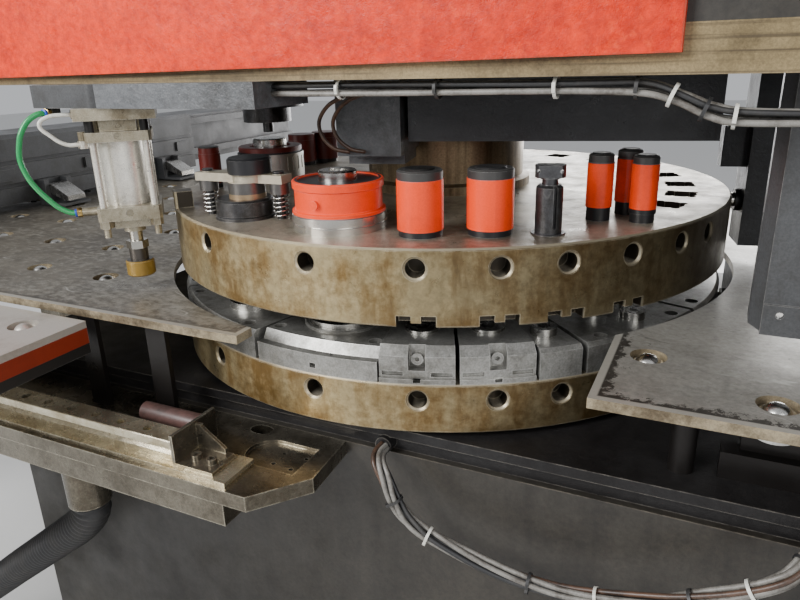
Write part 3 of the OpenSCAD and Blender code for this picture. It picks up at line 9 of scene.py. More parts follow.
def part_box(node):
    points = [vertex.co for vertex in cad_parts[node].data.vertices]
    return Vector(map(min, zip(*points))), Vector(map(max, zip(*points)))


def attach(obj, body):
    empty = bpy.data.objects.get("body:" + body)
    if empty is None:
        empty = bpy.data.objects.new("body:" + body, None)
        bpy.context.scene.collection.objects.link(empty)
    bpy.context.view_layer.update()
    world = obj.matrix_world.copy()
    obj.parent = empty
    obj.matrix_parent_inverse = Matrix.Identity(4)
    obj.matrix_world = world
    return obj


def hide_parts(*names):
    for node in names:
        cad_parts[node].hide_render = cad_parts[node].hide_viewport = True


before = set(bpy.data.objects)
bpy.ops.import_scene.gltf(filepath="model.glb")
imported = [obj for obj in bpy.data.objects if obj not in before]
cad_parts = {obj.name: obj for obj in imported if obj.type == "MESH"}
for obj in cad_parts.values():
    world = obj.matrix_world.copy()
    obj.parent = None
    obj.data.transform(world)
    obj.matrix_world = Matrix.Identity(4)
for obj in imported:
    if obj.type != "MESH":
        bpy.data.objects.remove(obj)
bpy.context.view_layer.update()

# Places on the machine, as in its solids
TABLE_UNDERSIDE = 0.9175
DISC_TOP = 1.053
TURRET_R = 0.480
# The rims' narrow bevel, by distance from the turret axis
BEVEL = (TURRET_R - 0.0037, TURRET_R - 0.0008)
# Near edge of the tables, and the X of each side of the gap between them
TABLE_FRONT = 0.521
GAP = (-0.088, 0.365)
# Bare machined band of the frame above its throat
BAND = (1.2455, 1.292)
# Turn of the black beam in degrees, and where its slate part begins along it
BEAM_TURN = 12.5
SLATE_EDGE = -0.0119
# Hold-down: its axis, its barrel, and its screw heads by height and least radius
HOLD_DOWN = (-0.358, -0.411)
BARREL = (1.0712, 1.1658)
SCREW_HEADS = (1.1802, 1.1968)
SCREWS_OUT = 0.052
# Where the round buffer of the rail stop meets its bracket
BUFFER_LENGTH = 0.112
BUFFER_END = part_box("rail_stop")[0][0] + BUFFER_LENGTH - 0.004


# Camera

def place_camera():
    """Stands where the photograph was taken, with its tilt and small roll."""
    yaw, pitch, roll = (math.radians(a) for a in (25.9, 19.4, -1.63))
    look = Vector((-math.sin(yaw) * math.cos(pitch), math.cos(yaw) * math.cos(pitch),
                   -math.sin(pitch)))
    level = Vector((math.cos(yaw), math.sin(yaw), 0))
    upright = level.cross(look)
    right = math.cos(roll) * level + math.sin(roll) * upright
    up = -math.sin(roll) * level + math.cos(roll) * upright
    camera = bpy.data.objects.new("camera", bpy.data.cameras.new("camera"))
    camera.data.sensor_width = 36
    camera.data.lens = 30.65
    camera.data.clip_start = 0.02
    turn = Matrix((right, up, -look)).transposed()
    camera.matrix_world = Matrix.Translation((0.469, -1.173, 1.266)) @ turn.to_4x4()
    bpy.context.collection.objects.link(camera)
    bpy.context.scene.camera = camera


# Shader helpers

def add_node(tree, kind, inputs=None, **settings):
    """Adds a shader node, sets its properties, then fills or links its inputs."""
    made = tree.nodes.new(kind)
    for name, value in settings.items():
        setattr(made, name, value)
    for name, value in (inputs or {}).items():
        if isinstance(value, bpy.types.NodeSocket):
            tree.links.new(value, made.inputs[name])
        else:
            made.inputs[name].default_value = value
    return made


def object_place(tree):
    """The place on the surface in metres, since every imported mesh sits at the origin."""
    return add_node(tree, "ShaderNodeTexCoord").outputs["Object"]


def split(tree, vector):
    return add_node(tree, "ShaderNodeSeparateXYZ", {0: vector}).outputs


def math_node(tree, operation, a, b=0.5, clamp=False):
    return add_node(tree, "ShaderNodeMath", {0: a, 1: b}, operation=operation,
                    use_clamp=clamp).outputs[0]


def between(tree, value, low, high):
    """1 where a value lies between two limits, 0 elsewhere."""
    return math_node(tree, "MULTIPLY", math_node(tree, "GREATER_THAN", value, low),
                     math_node(tree, "LESS_THAN", value, high))


def mix_colour(tree, factor, a, b, blend="MIX"):
    """Two colours mixed by a factor; sockets 0, 6 and 7 are the factor and both colours."""
    mixer = add_node(tree, "ShaderNodeMix", {0: factor, 6: a, 7: b}, data_type="RGBA",
                     blend_type=blend)
    return mixer.outputs[2]


def shaded(tree, colour, factor):
    """The colour made darker or lighter by a factor."""
    return add_node(tree, "ShaderNodeVectorMath", {0: colour, "Scale": factor},
                    operation="SCALE").outputs["Vector"]


def remap(tree, value, low, high, to_low=0.0, to_high=1.0):
    """A value's way from low to high, clamped, as a way between two others."""
    return add_node(tree, "ShaderNodeMapRange",
                    {"Value": value, "From Min": low, "From Max": high,
                     "To Min": to_low, "To Max": to_high}).outputs["Result"]


def noise(tree, vector, scale, detail, roughness):
    return add_node(tree, "ShaderNodeTexNoise",
                    {"Vector": vector, "Scale": scale, "Detail": detail,
                     "Roughness": roughness}).outputs["Fac"]


def stretched(tree, vector, scale, turn=(0, 0, 0)):
    return add_node(tree, "ShaderNodeMapping",
                    {"Vector": vector, "Scale": scale, "Rotation": turn}).outputs["Vector"]


def from_axis(tree, place):
    """Distance from the vertical axis through the origin of a place."""
    return add_node(tree, "ShaderNodeVectorMath", {0: stretched(tree, place, (1, 1, 0))},
                    operation="LENGTH").outputs["Value"]


def new_group(name, inputs, output):
    """An empty node group with inputs by their defaults and one output."""
    group = bpy.data.node_groups.new(name, "ShaderNodeTree")
    for label, default in inputs.items():
        kind = "NodeSocketColor" if isinstance(default, tuple) else "NodeSocketFloat"
        socket = group.interface.new_socket(label, in_out="INPUT", socket_type=kind)
        socket.default_value = default
    kind = "NodeSocketColor" if output == "Colour" else "NodeSocketFloat"
    group.interface.new_socket(output, in_out="OUTPUT", socket_type=kind)
    return group, group.nodes.new("NodeGroupInput").outputs, group.nodes.new("NodeGroupOutput")


def put(tree, end, **sockets):
    """Links sockets to the inputs of a node, where an underscore stands for a space."""
    for label, socket in sockets.items():
        tree.links.new(socket, end.inputs[label.replace("_", " ")])


# Shared finishes as node groups

def patches_group():
    """Uneven film of oil and dirt: a colour between two tones."""
    group, given, end = new_group(
        "oily_patches",
        {"Clean": (0.5, 0.5, 0.5, 1), "Dirty": (0.1, 0.08, 0.05, 1), "Scale": 6.0,
         "Amount": 0.5, "Streaks": 0.0, "Specks": 0.2}, "Colour")
    place = object_place(group)
    broad = noise(group, place, given["Scale"], 5, 0.55)
    fine = noise(group, place, math_node(group, "MULTIPLY", given["Scale"], 9.0), 5, 0.65)
    runs = noise(group, stretched(group, place, (26, 26, 1.6)), 1.0, 5, 0.6)
    mixed = math_node(group, "ADD", math_node(group, "MULTIPLY", broad, 0.66),
                      math_node(group, "MULTIPLY", fine, 0.34))
    mixed = add_node(group, "ShaderNodeMix", {0: given["Streaks"], 2: mixed, 3: runs},
                     data_type="FLOAT").outputs[0]
    edge = math_node(group, "SUBTRACT", 1.0, given["Amount"])
    low = math_node(group, "SUBTRACT", edge, 0.36)
    high = math_node(group, "ADD", edge, 0.36)
    # Noise gathers round a half, so the ends of the range are drawn in
    spread = remap(group, mixed, 0.30, 0.70)
    mask = add_node(group, "ShaderNodeMapRange",
                    {"Value": spread, "From Min": low, "From Max": high},
                    interpolation_type="SMOOTHSTEP").outputs["Result"]
    colour = mix_colour(group, mask, given["Clean"], given["Dirty"])
    speck = noise(group, place, math_node(group, "MULTIPLY", given["Scale"], 42.0), 3, 0.75)
    swing = math_node(group, "MULTIPLY", remap(group, speck, 0.34, 0.66, -1.0, 1.0),
                      given["Specks"])
    put(group, end, Colour=shaded(group, colour, math_node(group, "ADD", 1.0, swing)))


def edges_group():
    """Mask of the outer edges, broken up, where paint or oil has rubbed off."""
    group, given, end = new_group("rubbed_edges", {"Width": 0.002, "Amount": 0.6}, "Mask")
    rounded = add_node(group, "ShaderNodeBevel", {"Radius": given["Width"]}, samples=4)
    flat = add_node(group, "ShaderNodeNewGeometry").outputs["Normal"]
    level = add_node(group, "ShaderNodeVectorMath", {0: rounded.outputs[0], 1: flat},
                     operation="DOT_PRODUCT").outputs["Value"]
    place = object_place(group)
    broken = remap(group, noise(group, place, 40.0, 6, 0.7), 0.35, 0.6)
    sharp = remap(group, level, 0.995, 0.90)
    rubbed = math_node(group, "MULTIPLY", sharp, broken)
    put(group, end, Mask=math_node(group, "MULTIPLY", rubbed, given["Amount"], clamp=True))


def scratches_group():
    """Thin broken scratches in three directions, as a mask."""
    group, given, end = new_group("sheet_scratches", {"Scale": 1.0, "Amount": 0.5}, "Mask")
    place = object_place(group)
    masks = []
    for turn, stretch in ((0.35, (1.6, 8, 5)), (-0.8, (2.2, 11, 5)), (1.9, (1.8, 9, 5))):
        lines = noise(group, stretched(group, place, stretch, (0, 0, turn)),
                      given["Scale"], 2, 0.4)
        off = math_node(group, "ABSOLUTE", math_node(group, "SUBTRACT", lines, 0.5))
        masks.append(remap(group, off, 0.0022, 0.0004))
    total = math_node(group, "MAXIMUM", math_node(group, "MAXIMUM", masks[0], masks[1]),
                      masks[2])
    gaps = noise(group, place, math_node(group, "MULTIPLY", given["Scale"], 7.0), 4, 0.7)
    total = math_node(group, "MULTIPLY", total, remap(group, gaps, 0.50, 0.60))
    put(group, end, Mask=math_node(group, "MULTIPLY", total, given["Amount"], clamp=True))


def upward_group():
    """Mask of the faces that look up, where dust, oil and light wear gather."""
    group, given, end = new_group("upward_faces", {"Start": 0.6}, "Mask")
    normal = add_node(group, "ShaderNodeNewGeometry").outputs["Normal"]
    start = given["Start"]
    put(group, end, Mask=remap(group, split(group, normal)["Z"], start,
                               math_node(group, "ADD", start, 0.2)))


def blotches_group():
    """Stains in three tones: broad ones, runs down the surface, and dark marks."""
    group, given, end = new_group(
        "oil_stains",
        {"Light": (0.4, 0.35, 0.2, 1), "Middle": (0.2, 0.15, 0.08, 1),
         "Dark": (0.05, 0.035, 0.02, 1), "Scale": 1.0, "Lean": 0.0}, "Colour")
    place = object_place(group)
    broad = noise(group, stretched(group, place, (5, 5, 9)), given["Scale"], 5, 0.6)
    runs = noise(group, stretched(group, place, (24, 24, 7)), given["Scale"], 6, 0.62)
    crumbs = noise(group, place, math_node(group, "MULTIPLY", given["Scale"], 90.0), 5, 0.72)
    mixed = math_node(group, "ADD", math_node(group, "MULTIPLY", broad, 0.45),
                      math_node(group, "MULTIPLY", runs, 0.40))
    mixed = math_node(group, "ADD", mixed, math_node(group, "MULTIPLY", crumbs, 0.15))
    tones = remap(group, math_node(group, "ADD", mixed, given["Lean"]), 0.44, 0.56)
    colour = mix_colour(group, tones, given["Middle"], given["Light"])
    mask = math_node(group, "MULTIPLY", remap(group, runs, 0.44, 0.34),
                     remap(group, crumbs, 0.42, 0.58))
    colour = mix_colour(group, math_node(group, "MULTIPLY", mask, 0.6), colour, given["Dark"])
    put(group, end, Colour=shaded(group, colour,
                                  remap(group, crumbs, 0.34, 0.66, 0.80, 1.20)))


def turned_group():
    """Fine rings left by the lathe round the turret axis, as a height."""
    group, given, end = new_group("lathe_rings", {"Rings": 900.0}, "Height")
    place = object_place(group)
    out = from_axis(group, place)
    ring = add_node(group, "ShaderNodeTexNoise",
                    {"W": math_node(group, "MULTIPLY", out, given["Rings"]), "Detail": 2.0},
                    noise_dimensions="1D").outputs["Fac"]
    put(group, end, Height=ring)


def grain_group():
    """Fine uneven surface of cast, painted or blasted metal, as a height."""
    group, given, end = new_group("fine_grain", {"Scale": 400.0}, "Height")
    place = object_place(group)
    put(group, end, Height=noise(group, place, given["Scale"], 5, 0.6))


def make_groups():
    for make_group in (patches_group, edges_group, scratches_group, upward_group,
                       blotches_group, turned_group, grain_group):
        make_group()


def use_group(tree, name, **inputs):
    """The one output of a shared finish."""
    return add_node(tree, "ShaderNodeGroup", inputs,
                    node_tree=bpy.data.node_groups[name]).outputs[0]


def film(tree, clean, dirty, scale, amount, streaks):
    """The colour of a clean surface under uneven dirt."""
    return use_group(tree, "oily_patches", Clean=(*clean, 1), Dirty=(*dirty, 1), Scale=scale,
                     Amount=amount, Streaks=streaks)


def rub_edges(tree, colour, width, amount, bare):
    """The colour, with a bare one where its outer edges are rubbed."""
    mask = use_group(tree, "rubbed_edges", Width=width, Amount=amount)
    return mix_colour(tree, mask, colour, (*bare, 1))


def grain_height(tree, scale):
    return use_group(tree, "fine_grain", Scale=scale)


# Materials

def new_material(name, metallic=0.0, roughness=0.5):
    material = bpy.data.materials.new(name)
    material.use_nodes = True
    shader = material.node_tree.nodes["Principled BSDF"]
    shader.inputs["Metallic"].default_value = metallic
    shader.inputs["Roughness"].default_value = roughness
    return material, material.node_tree, shader


def set_bump(tree, shader, height, strength, distance=0.001):
    bump = add_node(tree, "ShaderNodeBump",
                    {"Strength": strength, "Distance": distance, "Height": height})
    put(tree, shader, Normal=bump.outputs["Normal"])


def worn_metal(name, clean, dirty, bright, metallic, scale, amount, streaks, rough, edge,
               grain, bump, scratch=None):
    """Bare or blackened metal with oil patches and rubbed edges.

    rough is its least and most roughness, edge the width and amount of rubbing, scratch the
    scale and amount of scratches."""
    material, tree, shader = new_material(name, metallic)
    colour = film(tree, clean, dirty, scale, amount, streaks)
    shine = use_group(tree, "rubbed_edges", Width=edge[0], Amount=edge[1])
    if scratch:
        marks = use_group(tree, "sheet_scratches", Scale=scratch[0], Amount=scratch[1])
        shine = math_node(tree, "MAXIMUM", shine, marks)
    uneven = remap(tree, noise(tree, object_place(tree), scale * 3, 5, 0.6), 0.3, 0.7, *rough)
    put(tree, shader, Base_Color=mix_colour(tree, shine, colour, (*bright, 1)),
        Roughness=uneven)
    set_bump(tree, shader, grain_height(tree, grain), bump)
    return material


def paint(name, colour, dirt, chip, rough, amount, scale, streaks, edge, bump, grain=260.0,
          specular=0.5):
    """Enamel or plastic with dirt in patches and chipped edges."""
    material, tree, shader = new_material(name)
    shader.inputs["Specular IOR Level"].default_value = specular
    colour = film(tree, colour, dirt, scale, amount, streaks)
    uneven = remap(tree, noise(tree, object_place(tree), 14, 5, 0.6), 0.3, 0.7, rough - 0.1,
                   rough + 0.12)
    put(tree, shader, Base_Color=rub_edges(tree, colour, *edge, chip), Roughness=uneven)
    set_bump(tree, shader, grain_height(tree, grain), bump)
    return material


def banded(name, bands, left_shade=None, sunk=None):
    """A piece of several finishes, stacked by height: rows of (top, colour, metallic, rough).

    Its third argument is (x, colour): left of x, orange gives way to that colour, a painted
    shade. sunk is (x, y, radius):
    a black face that looks up inside that circle."""
    material, tree, shader = new_material(name)
    xyz = split(tree, object_place(tree))
    left = math_node(tree, "LESS_THAN", xyz["X"], left_shade[0]) if left_shade else None
    top, tint, metal, rough = bands[0]
    colour = (*tint, 1)
    for next_top, tint, metallic, roughness in bands[1:]:
        above = math_node(tree, "GREATER_THAN", xyz["Z"], top)
        over = (*tint, 1)
        # Painted shade: left of x the tool orange is darkened to a deep red
        if left_shade and tint == TOOL_ORANGE:
            over = mix_colour(tree, left, over, (*left_shade[1], 1))
        colour = mix_colour(tree, above, colour, over)
        metal = add_node(tree, "ShaderNodeMix", {0: above, 2: metal, 3: metallic}).outputs[0]
        rough = add_node(tree, "ShaderNodeMix", {0: above, 2: rough, 3: roughness}).outputs[0]
        top = next_top
    if sunk:
        across = math_node(tree, "POWER", math_node(tree, "SUBTRACT", xyz["X"], sunk[0]), 2.0)
        along = math_node(tree, "POWER", math_node(tree, "SUBTRACT", xyz["Y"], sunk[1]), 2.0)
        inside = math_node(tree, "LESS_THAN", math_node(tree, "ADD", across, along),
                           sunk[2] ** 2)
        up = use_group(tree, "upward_faces", Start=0.7)
        colour = mix_colour(tree, math_node(tree, "MULTIPLY", inside, up), colour,
                            (*NEAR_BLACK, 1))
    dirt = use_group(tree, "oily_patches", Clean=(1, 1, 1, 1), Dirty=(0.70, 0.66, 0.62, 1),
                     Scale=12.0, Amount=0.28, Streaks=0.2, Specks=0.05)
    colour = mix_colour(tree, 1.0, colour, dirt, "MULTIPLY")
    colour = rub_edges(tree, colour, 0.0008, 0.35, (0.75, 0.72, 0.68))
    put(tree, shader, Base_Color=colour, Metallic=metal, Roughness=rough)
    set_bump(tree, shader, grain_height(tree, 900.0), 0.05)
    return material


def orange_cover():
    """Orange enamel, mottled, with dark oily streaks near the nose."""
    material, tree, shader = new_material("orange cover paint")
    shader.inputs["Specular IOR Level"].default_value = 0.25
    place = object_place(tree)
    xyz = split(tree, place)
    colour = film(tree, ORANGE, (0.48, 0.016, 0.003), 2.6, 0.42, 0.25)
    mottle = remap(tree, noise(tree, place, 70, 4, 0.7), 0.56, 0.72, 0.0, 0.5)
    colour = mix_colour(tree, mottle, colour, (0.90, 0.075, 0.015, 1))
    runs = noise(tree, stretched(tree, place, (5, 5, 1.6)), 1.6, 6, 0.62)
    runs = remap(tree, runs, 0.50, 0.64)
    near_nose = remap(tree, xyz["X"], -0.25, -0.62)
    high_up = remap(tree, xyz["Z"], 1.275, 1.33)
    oil = math_node(tree, "MULTIPLY", math_node(tree, "MULTIPLY", runs, near_nose), high_up)
    colour = mix_colour(tree, math_node(tree, "MULTIPLY", oil, 0.85), colour,
                        (0.075, 0.030, 0.018, 1))
    colour = rub_edges(tree, colour, 0.004, 0.9, (0.13, 0.06, 0.035))
    uneven = remap(tree, noise(tree, place, 30, 6, 0.7), 0.35, 0.65, 0.30, 0.58)
    put(tree, shader, Base_Color=colour, Roughness=uneven)
    height = math_node(tree, "ADD", noise(tree, place, 90, 5, 0.7),
                       math_node(tree, "MULTIPLY", noise(tree, place, 14, 4, 0.5), 2.0))
    set_bump(tree, shader, height, 0.35, 0.003)
    return material


def frame_plate():
    """Dark paint of the frame plates, with the bare machined band above the throat."""
    material, tree, shader = new_material("dark frame paint")
    place = object_place(tree)
    painted = film(tree, (0.032, 0.028, 0.022), (0.012, 0.010, 0.008), 4.0, 0.45, 0.3)
    grained = film(tree, (0.27, 0.205, 0.105), (0.11, 0.08, 0.04), 9.0, 0.4, 0.0)
    lines = noise(tree, stretched(tree, place, (2.2, 2.2, 160)), 1.0, 4, 0.6)
    grained = mix_colour(tree, remap(tree, lines, 0.52, 0.64, 0.0, 0.8), grained,
                         (0.075, 0.055, 0.032, 1))
    band = between(tree, split(tree, place)["Z"], *BAND)
    colour = mix_colour(tree, band, painted, grained)
    colour = rub_edges(tree, colour, 0.003, 0.5, (0.20, 0.17, 0.13))
    uneven = remap(tree, noise(tree, place, 14, 5, 0.6), 0.3, 0.7, 0.34, 0.6)
    put(tree, shader, Base_Color=colour, Roughness=uneven,
        Metallic=math_node(tree, "MULTIPLY", band, 0.45))
    set_bump(tree, shader, grain_height(tree, 170.0), 0.2)
    return material


def beam_paint():
    """Rough black paint of the beam; the sensor block and bar beside it are slate grey."""
    material, tree, shader = new_material("beam paint")
    place = object_place(tree)
    square = stretched(tree, place, (1, 1, 1), (0, 0, math.radians(-BEAM_TURN)))
    is_slate = math_node(tree, "LESS_THAN", split(tree, square)["X"], SLATE_EDGE)
    black = film(tree, (0.024, 0.024, 0.026), (0.011, 0.010, 0.010), 9.0, 0.4, 0.1)
    slate = film(tree, (0.115, 0.120, 0.126), (0.034, 0.033, 0.032), 9.0, 0.4, 0.1)
    colour = mix_colour(tree, is_slate, black, slate)
    colour = rub_edges(tree, colour, 0.002, 0.5, (0.14, 0.14, 0.14))
    uneven = remap(tree, noise(tree, place, 30, 6, 0.65), 0.32, 0.68, 0.26, 0.48)
    put(tree, shader, Base_Color=colour, Roughness=uneven)
    height = math_node(tree, "ADD", noise(tree, place, 70, 5, 0.7),
                       math_node(tree, "MULTIPLY", noise(tree, place, 230, 4, 0.7), 0.4))
    set_bump(tree, shader, height, 0.75, 0.0016)
    return material


def turret_metal():
    """Oily machined steel of both discs: stained rims, greyer tops, bright hole edges."""
    material, tree, shader = new_material("turret steel", 0.6)
    place = object_place(tree)
    out = from_axis(tree, place)
    rim = use_group(tree, "oil_stains", Light=(0.37, 0.295, 0.160, 1),
                    Middle=(0.215, 0.130, 0.043, 1), Dark=(0.085, 0.052, 0.022, 1),
                    Scale=1.0, Lean=0.01)
    # Painted shade: the rim darkens towards the side by the column, where less light falls
    rim = shaded(tree, rim, remap(tree, split(tree, place)["X"], 0.02, 0.36, 1.0, 0.30))
    # Painted shade: faces inside the rim that don't look up, the bore walls and undersides, are
    # near black
    inner_shade = math_node(tree, "LESS_THAN", out, BEVEL[0])
    rim = mix_colour(tree, inner_shade, rim, (0.040, 0.032, 0.022, 1))
    top = film(tree, (0.42, 0.375, 0.295), (0.15, 0.125, 0.090), 9.0, 0.42, 0.0)
    colour = mix_colour(tree, use_group(tree, "upward_faces", Start=0.75), rim, top)
    bevel = between(tree, out, *BEVEL)
    rub = use_group(tree, "rubbed_edges", Width=0.0022, Amount=0.85)
    bright = math_node(tree, "MAXIMUM", math_node(tree, "MULTIPLY", bevel, 0.55), rub)
    colour = mix_colour(tree, bright, colour, (0.56, 0.50, 0.37, 1))
    uneven = remap(tree, noise(tree, place, 24, 6, 0.65), 0.32, 0.68, 0.26, 0.50)
    put(tree, shader, Base_Color=colour, Roughness=uneven)
    rings = use_group(tree, "lathe_rings", Rings=600.0)
    turned = noise(tree, stretched(tree, place, (3, 3, 900)), 1.0, 2, 0.5)
    height = math_node(tree, "ADD", math_node(tree, "ADD", rings, turned),
                       noise(tree, place, 190, 6, 0.75))
    set_bump(tree, shader, height, 0.20)
    return material


def table_metal(name, clean, dirty, worn, ragged, gap_edge):
    """Worn table plate: oily film, light flecks, scratches, and a dark line inside its edge.

    worn and ragged are the strengths of the flecks and the line, gap_edge is the X of its
    side of the gap."""
    material, tree, shader = new_material(name, 0.5)
    place = object_place(tree)
    colour = film(tree, clean, dirty, 3.2, 0.45, 0.0)
    # Bare flecks where sheets rub, most of all round the cut-out
    flecks = noise(tree, stretched(tree, place, (60, 95, 60), (0, 0, 0.5)), 1.0, 5, 0.72)
    patch = noise(tree, place, 5.0, 4, 0.6)
    by_cut_out = remap(tree, from_axis(tree, place), 0.80, 0.52, 0.0, 0.11)
    flecks = math_node(tree, "ADD", flecks, by_cut_out)
    flecks = math_node(tree, "ADD", flecks, remap(tree, patch, 0.35, 0.65, -0.06, 0.06))
    colour = mix_colour(tree, remap(tree, flecks, 0.50, 0.70, 0.0, worn), colour,
                        (0.40, 0.38, 0.33, 1))
    specks = remap(tree, noise(tree, place, 240, 3, 0.8), 0.62, 0.72, 0.0, 0.3)
    colour = mix_colour(tree, specks, colour, (0.075, 0.065, 0.05, 1))
    marks = use_group(tree, "sheet_scratches", Scale=1.2, Amount=0.6)
    colour = mix_colour(tree, marks, colour, (0.64, 0.62, 0.57, 1))
    cuts = use_group(tree, "sheet_scratches", Scale=2.3, Amount=0.8)
    colour = mix_colour(tree, cuts, colour, (0.030, 0.027, 0.024, 1))
    # Bare strip along the near edge and the gap, with a ragged dark line inside it
    xyz = split(tree, place)
    near = math_node(tree, "ADD", xyz["Y"], TABLE_FRONT)
    near = math_node(tree, "MINIMUM", near, math_node(
        tree, "ABSOLUTE", math_node(tree, "SUBTRACT", xyz["X"], gap_edge)))
    crumbs = remap(tree, noise(tree, place, 75, 6, 0.78), 0.34, 0.66, -0.012, 0.012)
    torn = math_node(tree, "ADD", near, crumbs)
    inside = math_node(tree, "MULTIPLY", remap(tree, torn, 0.0175, 0.0155, 0.0, ragged),
                       remap(tree, near, 0.0075, 0.0095))
    colour = mix_colour(tree, inside, colour, (0.040, 0.034, 0.027, 1))
    bare = math_node(tree, "MULTIPLY", remap(tree, near, 0.0095, 0.0075), 0.75)
    colour = mix_colour(tree, bare, colour, (0.50, 0.475, 0.41, 1))
    up = use_group(tree, "upward_faces", Start=0.5)
    rim = film(tree, (0.36, 0.30, 0.20), (0.10, 0.075, 0.045), 14.0, 0.45, 0.0)
    colour = mix_colour(tree, up, rim, colour)
    # Painted shade: faces below the plate's underside are made near black
    underside_shade = math_node(tree, "LESS_THAN", xyz["Z"], TABLE_UNDERSIDE)
    colour = mix_colour(tree, underside_shade, colour, (0.014, 0.012, 0.011, 1))
    uneven = remap(tree, noise(tree, place, 11, 6, 0.65), 0.32, 0.68, 0.27, 0.52)
    put(tree, shader, Base_Color=colour, Roughness=uneven)
    set_bump(tree, shader, noise(tree, place, 300, 5, 0.75), 0.14)
    return material


def hold_down_metal():
    """The air cylinder: nickel-brown end blocks, a light barrel, black screw heads."""
    material, tree, shader = new_material("hold-down metal", 0.65)
    place = object_place(tree)
    height = split(tree, place)["Z"]
    offset = stretched(tree, place, (1, 1, 1))
    offset.node.inputs["Location"].default_value = (-HOLD_DOWN[0], -HOLD_DOWN[1], 0)
    far_out = math_node(tree, "GREATER_THAN", from_axis(tree, offset), SCREWS_OUT)
    block = film(tree, (0.40, 0.36, 0.27), (0.17, 0.135, 0.08), 14.0, 0.42, 0.2)
    barrel = film(tree, (0.82, 0.79, 0.71), (0.36, 0.32, 0.24), 15.0, 0.30, 0.2)
    colour = mix_colour(tree, between(tree, height, *BARREL), block, barrel)
    head = math_node(tree, "MULTIPLY", between(tree, height, *SCREW_HEADS), far_out)
    colour = mix_colour(tree, head, colour, (0.022, 0.021, 0.020, 1))
    colour = rub_edges(tree, colour, 0.0010, 0.7, (0.78, 0.75, 0.66))
    uneven = remap(tree, noise(tree, place, 60, 5, 0.65), 0.32, 0.68, 0.24, 0.44)
    put(tree, shader, Base_Color=colour, Roughness=uneven)
    set_bump(tree, shader, grain_height(tree, 900.0), 0.08)
    return material


ORANGE = (0.80, 0.040, 0.003)
TOOL_ORANGE = (0.90, 0.058, 0.004)
DARK_RED = (0.15, 0.013, 0.008)
NEAR_BLACK = (0.018, 0.018, 0.02)

# Name, clean, dirty and rubbed colour, then the rest as worn_metal takes it
METALS = [
    ("spindle steel", (0.33, 0.25, 0.15), (0.07, 0.045, 0.02), (0.5, 0.42, 0.3), 0.7, 7.0, 0.5,
     0.8, (0.3, 0.5), (0.002, 0.5), 600.0, 0.2),
    ("holder steel", (0.33, 0.325, 0.305), (0.125, 0.118, 0.100), (0.70, 0.69, 0.65), 0.7, 9.0,
     0.42, 0.0, (0.28, 0.46), (0.0016, 0.9), 420.0, 0.14),
    ("bright steel", (0.62, 0.61, 0.58), (0.28, 0.26, 0.23), (0.85, 0.84, 0.82), 1.0, 18.0,
     0.3, 0.1, (0.16, 0.34), (0.001, 0.6), 900.0, 0.05),
    ("dark steel", (0.105, 0.105, 0.110), (0.040, 0.036, 0.032), (0.40, 0.39, 0.37), 0.85,
     14.0, 0.4, 0.1, (0.28, 0.45), (0.0012, 0.8), 800.0, 0.1, (2.0, 0.15)),
    ("bed iron", (0.20, 0.180, 0.142), (0.085, 0.072, 0.052), (0.58, 0.54, 0.43), 0.85, 7.0,
     0.5, 0.0, (0.17, 0.36), (0.003, 0.95), 300.0, 0.25),
    ("rail steel", (0.64, 0.59, 0.45), (0.36, 0.30, 0.19), (0.80, 0.76, 0.62), 0.85, 16.0,
     0.38, 0.0, (0.16, 0.34), (0.0015, 0.9), 700.0, 0.08, (3.0, 0.5)),
    ("brass", (0.60, 0.42, 0.16), (0.28, 0.18, 0.06), (0.8, 0.65, 0.35), 1.0, 30.0, 0.4, 0.0,
     (0.22, 0.4), (0.0006, 0.5), 900.0, 0.05),
]
# Name, colour, dirt and chipped colour, then the rest as paint takes it
PAINTS = [
    ("black deck paint", (0.016, 0.015, 0.015), (0.007, 0.006, 0.006), (0.22, 0.20, 0.17),
     0.46, 0.5, 6.0, 0.2, (0.0025, 0.6), 0.25, 180.0, 0.3),
    ("rough black paint", (0.030, 0.032, 0.037), (0.014, 0.013, 0.012), (0.10, 0.10, 0.10),
     0.36, 0.4, 9.0, 0.1, (0.002, 0.4), 0.8, 110.0),
    ("grey sheet paint", (0.062, 0.064, 0.067), (0.026, 0.024, 0.021), (0.30, 0.29, 0.27),
     0.45, 0.4, 8.0, 0.3, (0.0015, 0.6), 0.1, 500.0),
    ("buffer plastic", (0.105, 0.055, 0.048), (0.045, 0.028, 0.024), (0.2, 0.12, 0.1),
     0.34, 0.4, 20.0, 0.0, (0.001, 0.4), 0.05),
    ("cable grey", (0.22, 0.21, 0.19), (0.07, 0.06, 0.05), (0.4, 0.4, 0.38),
     0.45, 0.4, 30.0, 0.0, (0.0005, 0.2), 0.1),
    ("lead sheath", (0.10, 0.055, 0.035), (0.03, 0.02, 0.015), (0.3, 0.25, 0.2),
     0.4, 0.4, 30.0, 0.0, (0.0005, 0.2), 0.1),
    ("blue ring", (0.02, 0.07, 0.45), (0.01, 0.03, 0.2), (0.1, 0.2, 0.6),
     0.3, 0.2, 30.0, 0.0, (0.0004, 0.2), 0.03),
    ("black rubber", (0.020, 0.020, 0.021), (0.045, 0.042, 0.038), (0.10, 0.10, 0.10),
     0.5, 0.35, 14.0, 0.0, (0.001, 0.4), 0.2),
    ("green tube", (0.02, 0.30, 0.09), (0.02, 0.20, 0.06), (0.1, 0.4, 0.2),
     0.25, 0.2, 20.0, 0.0, (0.0005, 0.1), 0.03),
    ("white tube", (0.72, 0.72, 0.66), (0.45, 0.42, 0.35), (0.8, 0.8, 0.8),
     0.3, 0.3, 20.0, 0.0, (0.0005, 0.1), 0.03),
]


